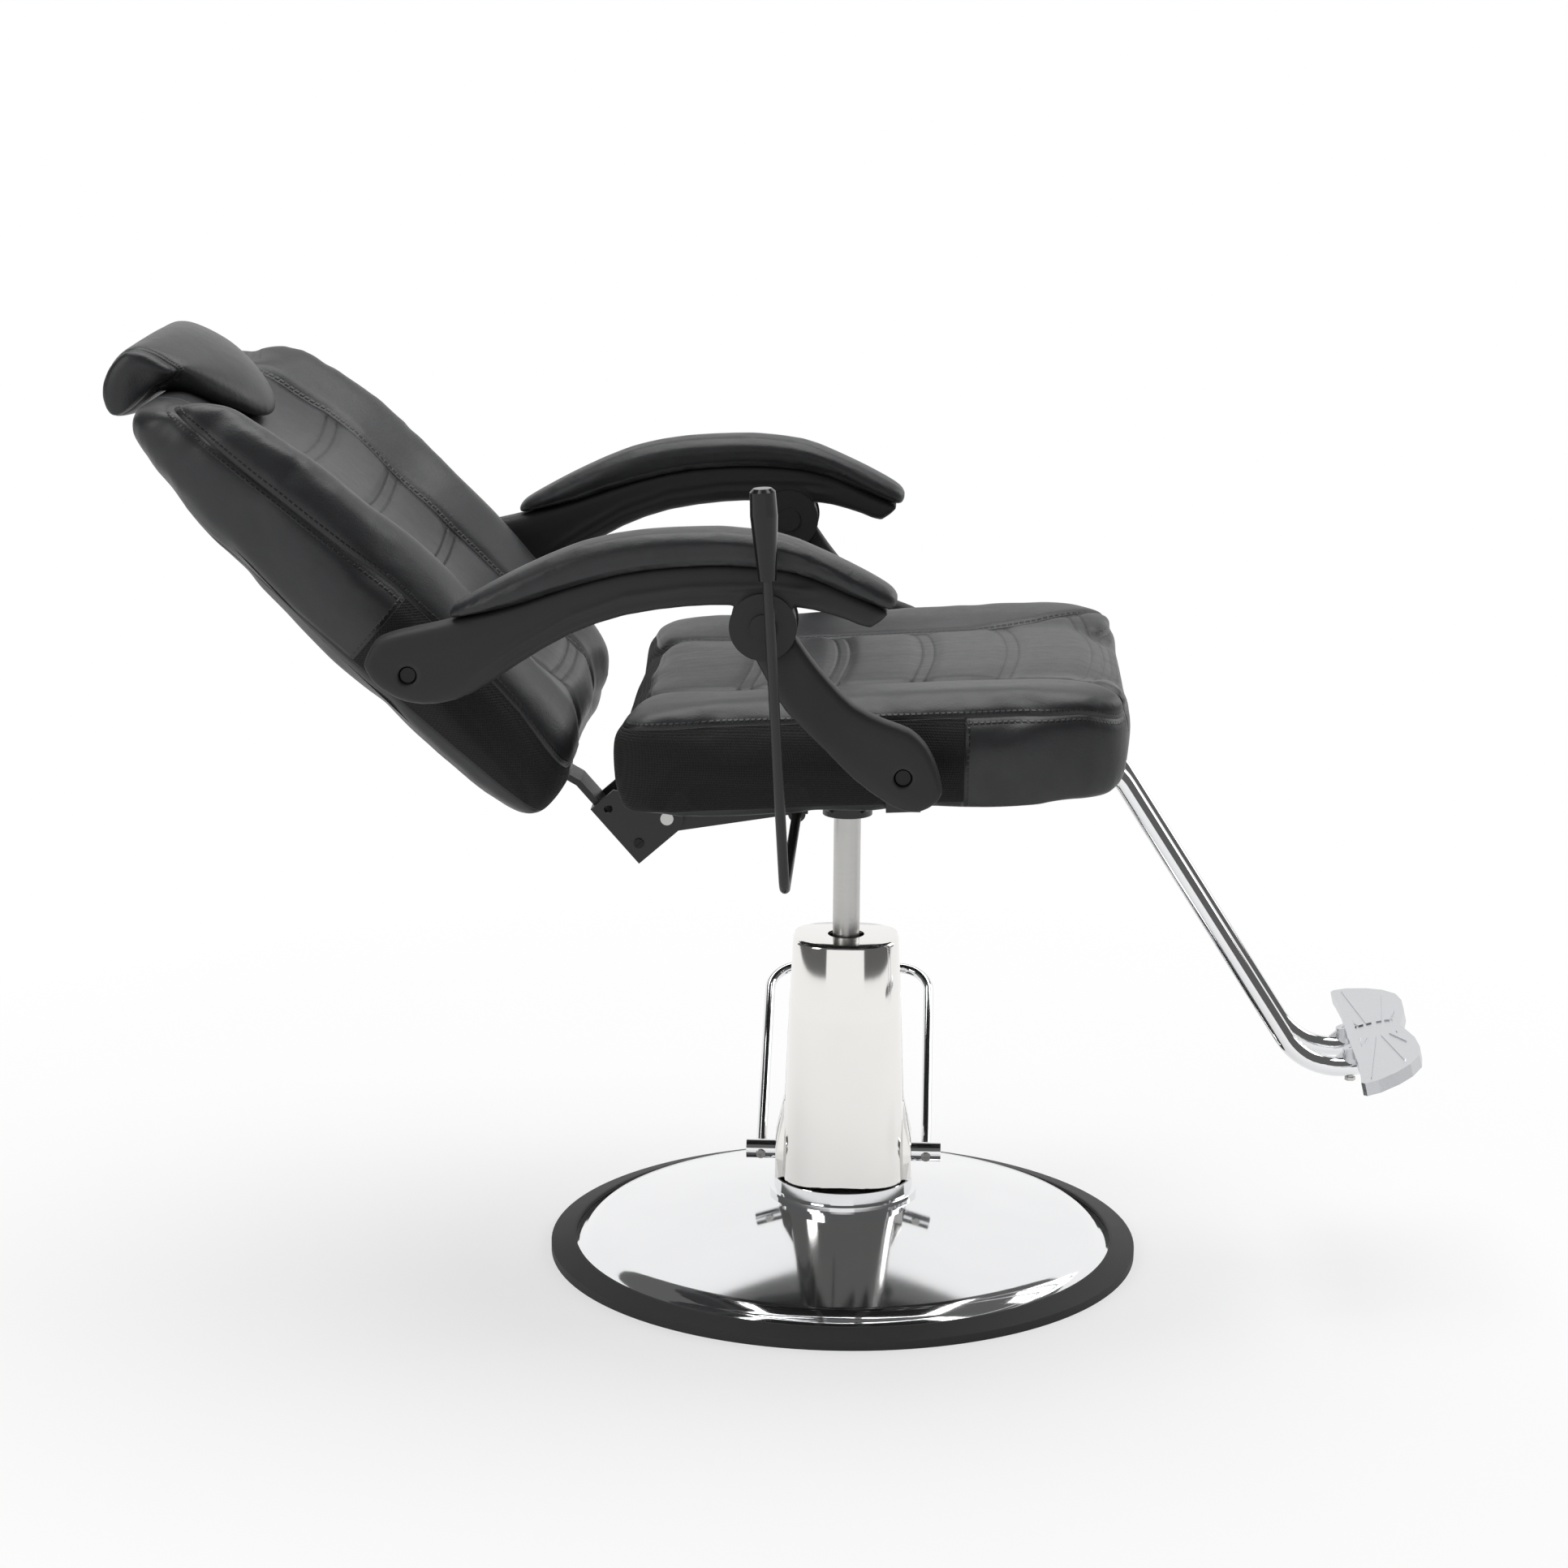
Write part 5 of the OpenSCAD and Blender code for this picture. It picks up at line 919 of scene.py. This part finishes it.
# The floor glows more away from the chair, so that it ends in the wall's white
away = (paper.axis("X") * paper.axis("X") + paper.axis("Y") * paper.axis("Y")).math("SQRT")
away = ((away - GLOW_FROM) / GLOW_OVER).math("MAXIMUM", 0).math("MINIMUM", 1)
mix = paper.tree.nodes.new("ShaderNodeMixShader")
join(paper.tree, seen * (away * 0.4 + 0.6), mix.inputs[0])
join(paper.tree, matt, mix.inputs[1])
join(paper.tree, lit, mix.inputs[2])
floor.data.materials.append(paper.close(Value(paper.tree, mix.outputs[0])))

upright("white_wall", "white studio wall", (0, 5, 2.5), 16, 5, lambda tree: 1.0)
# Behind the camera: chrome that faces the camera mirrors it, and it lights nothing
upright("white_card", "white reflecting card", (0, -5, 0.9), 3.4, 1.8, seen_directly)

world = bpy.data.worlds.new("studio")
scene.world = world
world.use_nodes = True
tree = world.node_tree
tree.nodes.clear()
ray = tree.nodes.new("ShaderNodeLightPath")
seen = Value(tree, ray.outputs["Is Camera Ray"])
glossy = Value(tree, ray.outputs["Is Glossy Ray"])
back_light = tree.nodes.new("ShaderNodeBackground")
back_light.inputs["Color"].default_value = (1, 1, 1, 1)
# The camera sees it white. It lights the chair with a quarter of that, and mirrors see less.
join(tree, seen * 0.75 + 0.25 - glossy * 0.13, back_light.inputs["Strength"])
out = tree.nodes.new("ShaderNodeOutputWorld")
tree.links.new(back_light.outputs[0], out.inputs["Surface"])


def softbox(name, place, aim, size, watts):
    """Lamp with a lit rectangle that faces the aim"""
    lamp = bpy.data.lights.new(name, "AREA")
    lamp.shape, lamp.size, lamp.size_y = "RECTANGLE", size[0], size[1]
    lamp.energy = watts
    obj = bpy.data.objects.new(name, lamp)
    obj.location = place
    obj.rotation_euler = (Vector(aim) - Vector(place)).to_track_quat("-Z", "Y").to_euler()
    scene.collection.objects.link(obj)


softbox("overhead", (-0.1, 0.5, 2.9), (0, 0, 0.4), (2.6, 2.0), 60)
softbox("front_left", (-2.2, -2.2, 1.9), (0, 0, 0.5), (1.2, 1.8), 22)
softbox("far_right", (2.2, 1.2, 1.8), (0, 0, 0.6), (1.2, 1.6), 18)

# The camera that the photograph was taken with
YAW, PITCH, ROLL = math.radians(2.21), math.radians(13.16), math.radians(0.47)
CAMERA_PLACE = (0.07766, -3.53828, 1.27473)
FOCAL_PIXELS, PICTURE_PIXELS, SENSOR = 4858.93, 1932, 36.0
look = Vector((-math.sin(YAW) * math.cos(PITCH), math.cos(YAW) * math.cos(PITCH),
               -math.sin(PITCH)))
right = Vector((math.cos(YAW), math.sin(YAW), 0))
upward = right.cross(look)
right, upward = (right * math.cos(ROLL) + upward * math.sin(ROLL),
                 upward * math.cos(ROLL) - right * math.sin(ROLL))
lens = bpy.data.cameras.new("photo_view")
lens.sensor_width, lens.lens = SENSOR, SENSOR * FOCAL_PIXELS / PICTURE_PIXELS
lens.clip_end = 200
camera = bpy.data.objects.new("photo_view", lens)
turn = Matrix((right, upward, -look)).transposed().to_4x4()
camera.matrix_world = Matrix.Translation(CAMERA_PLACE) @ turn
scene.collection.objects.link(camera)
scene.camera = camera
scene.view_settings.view_transform = "Standard"
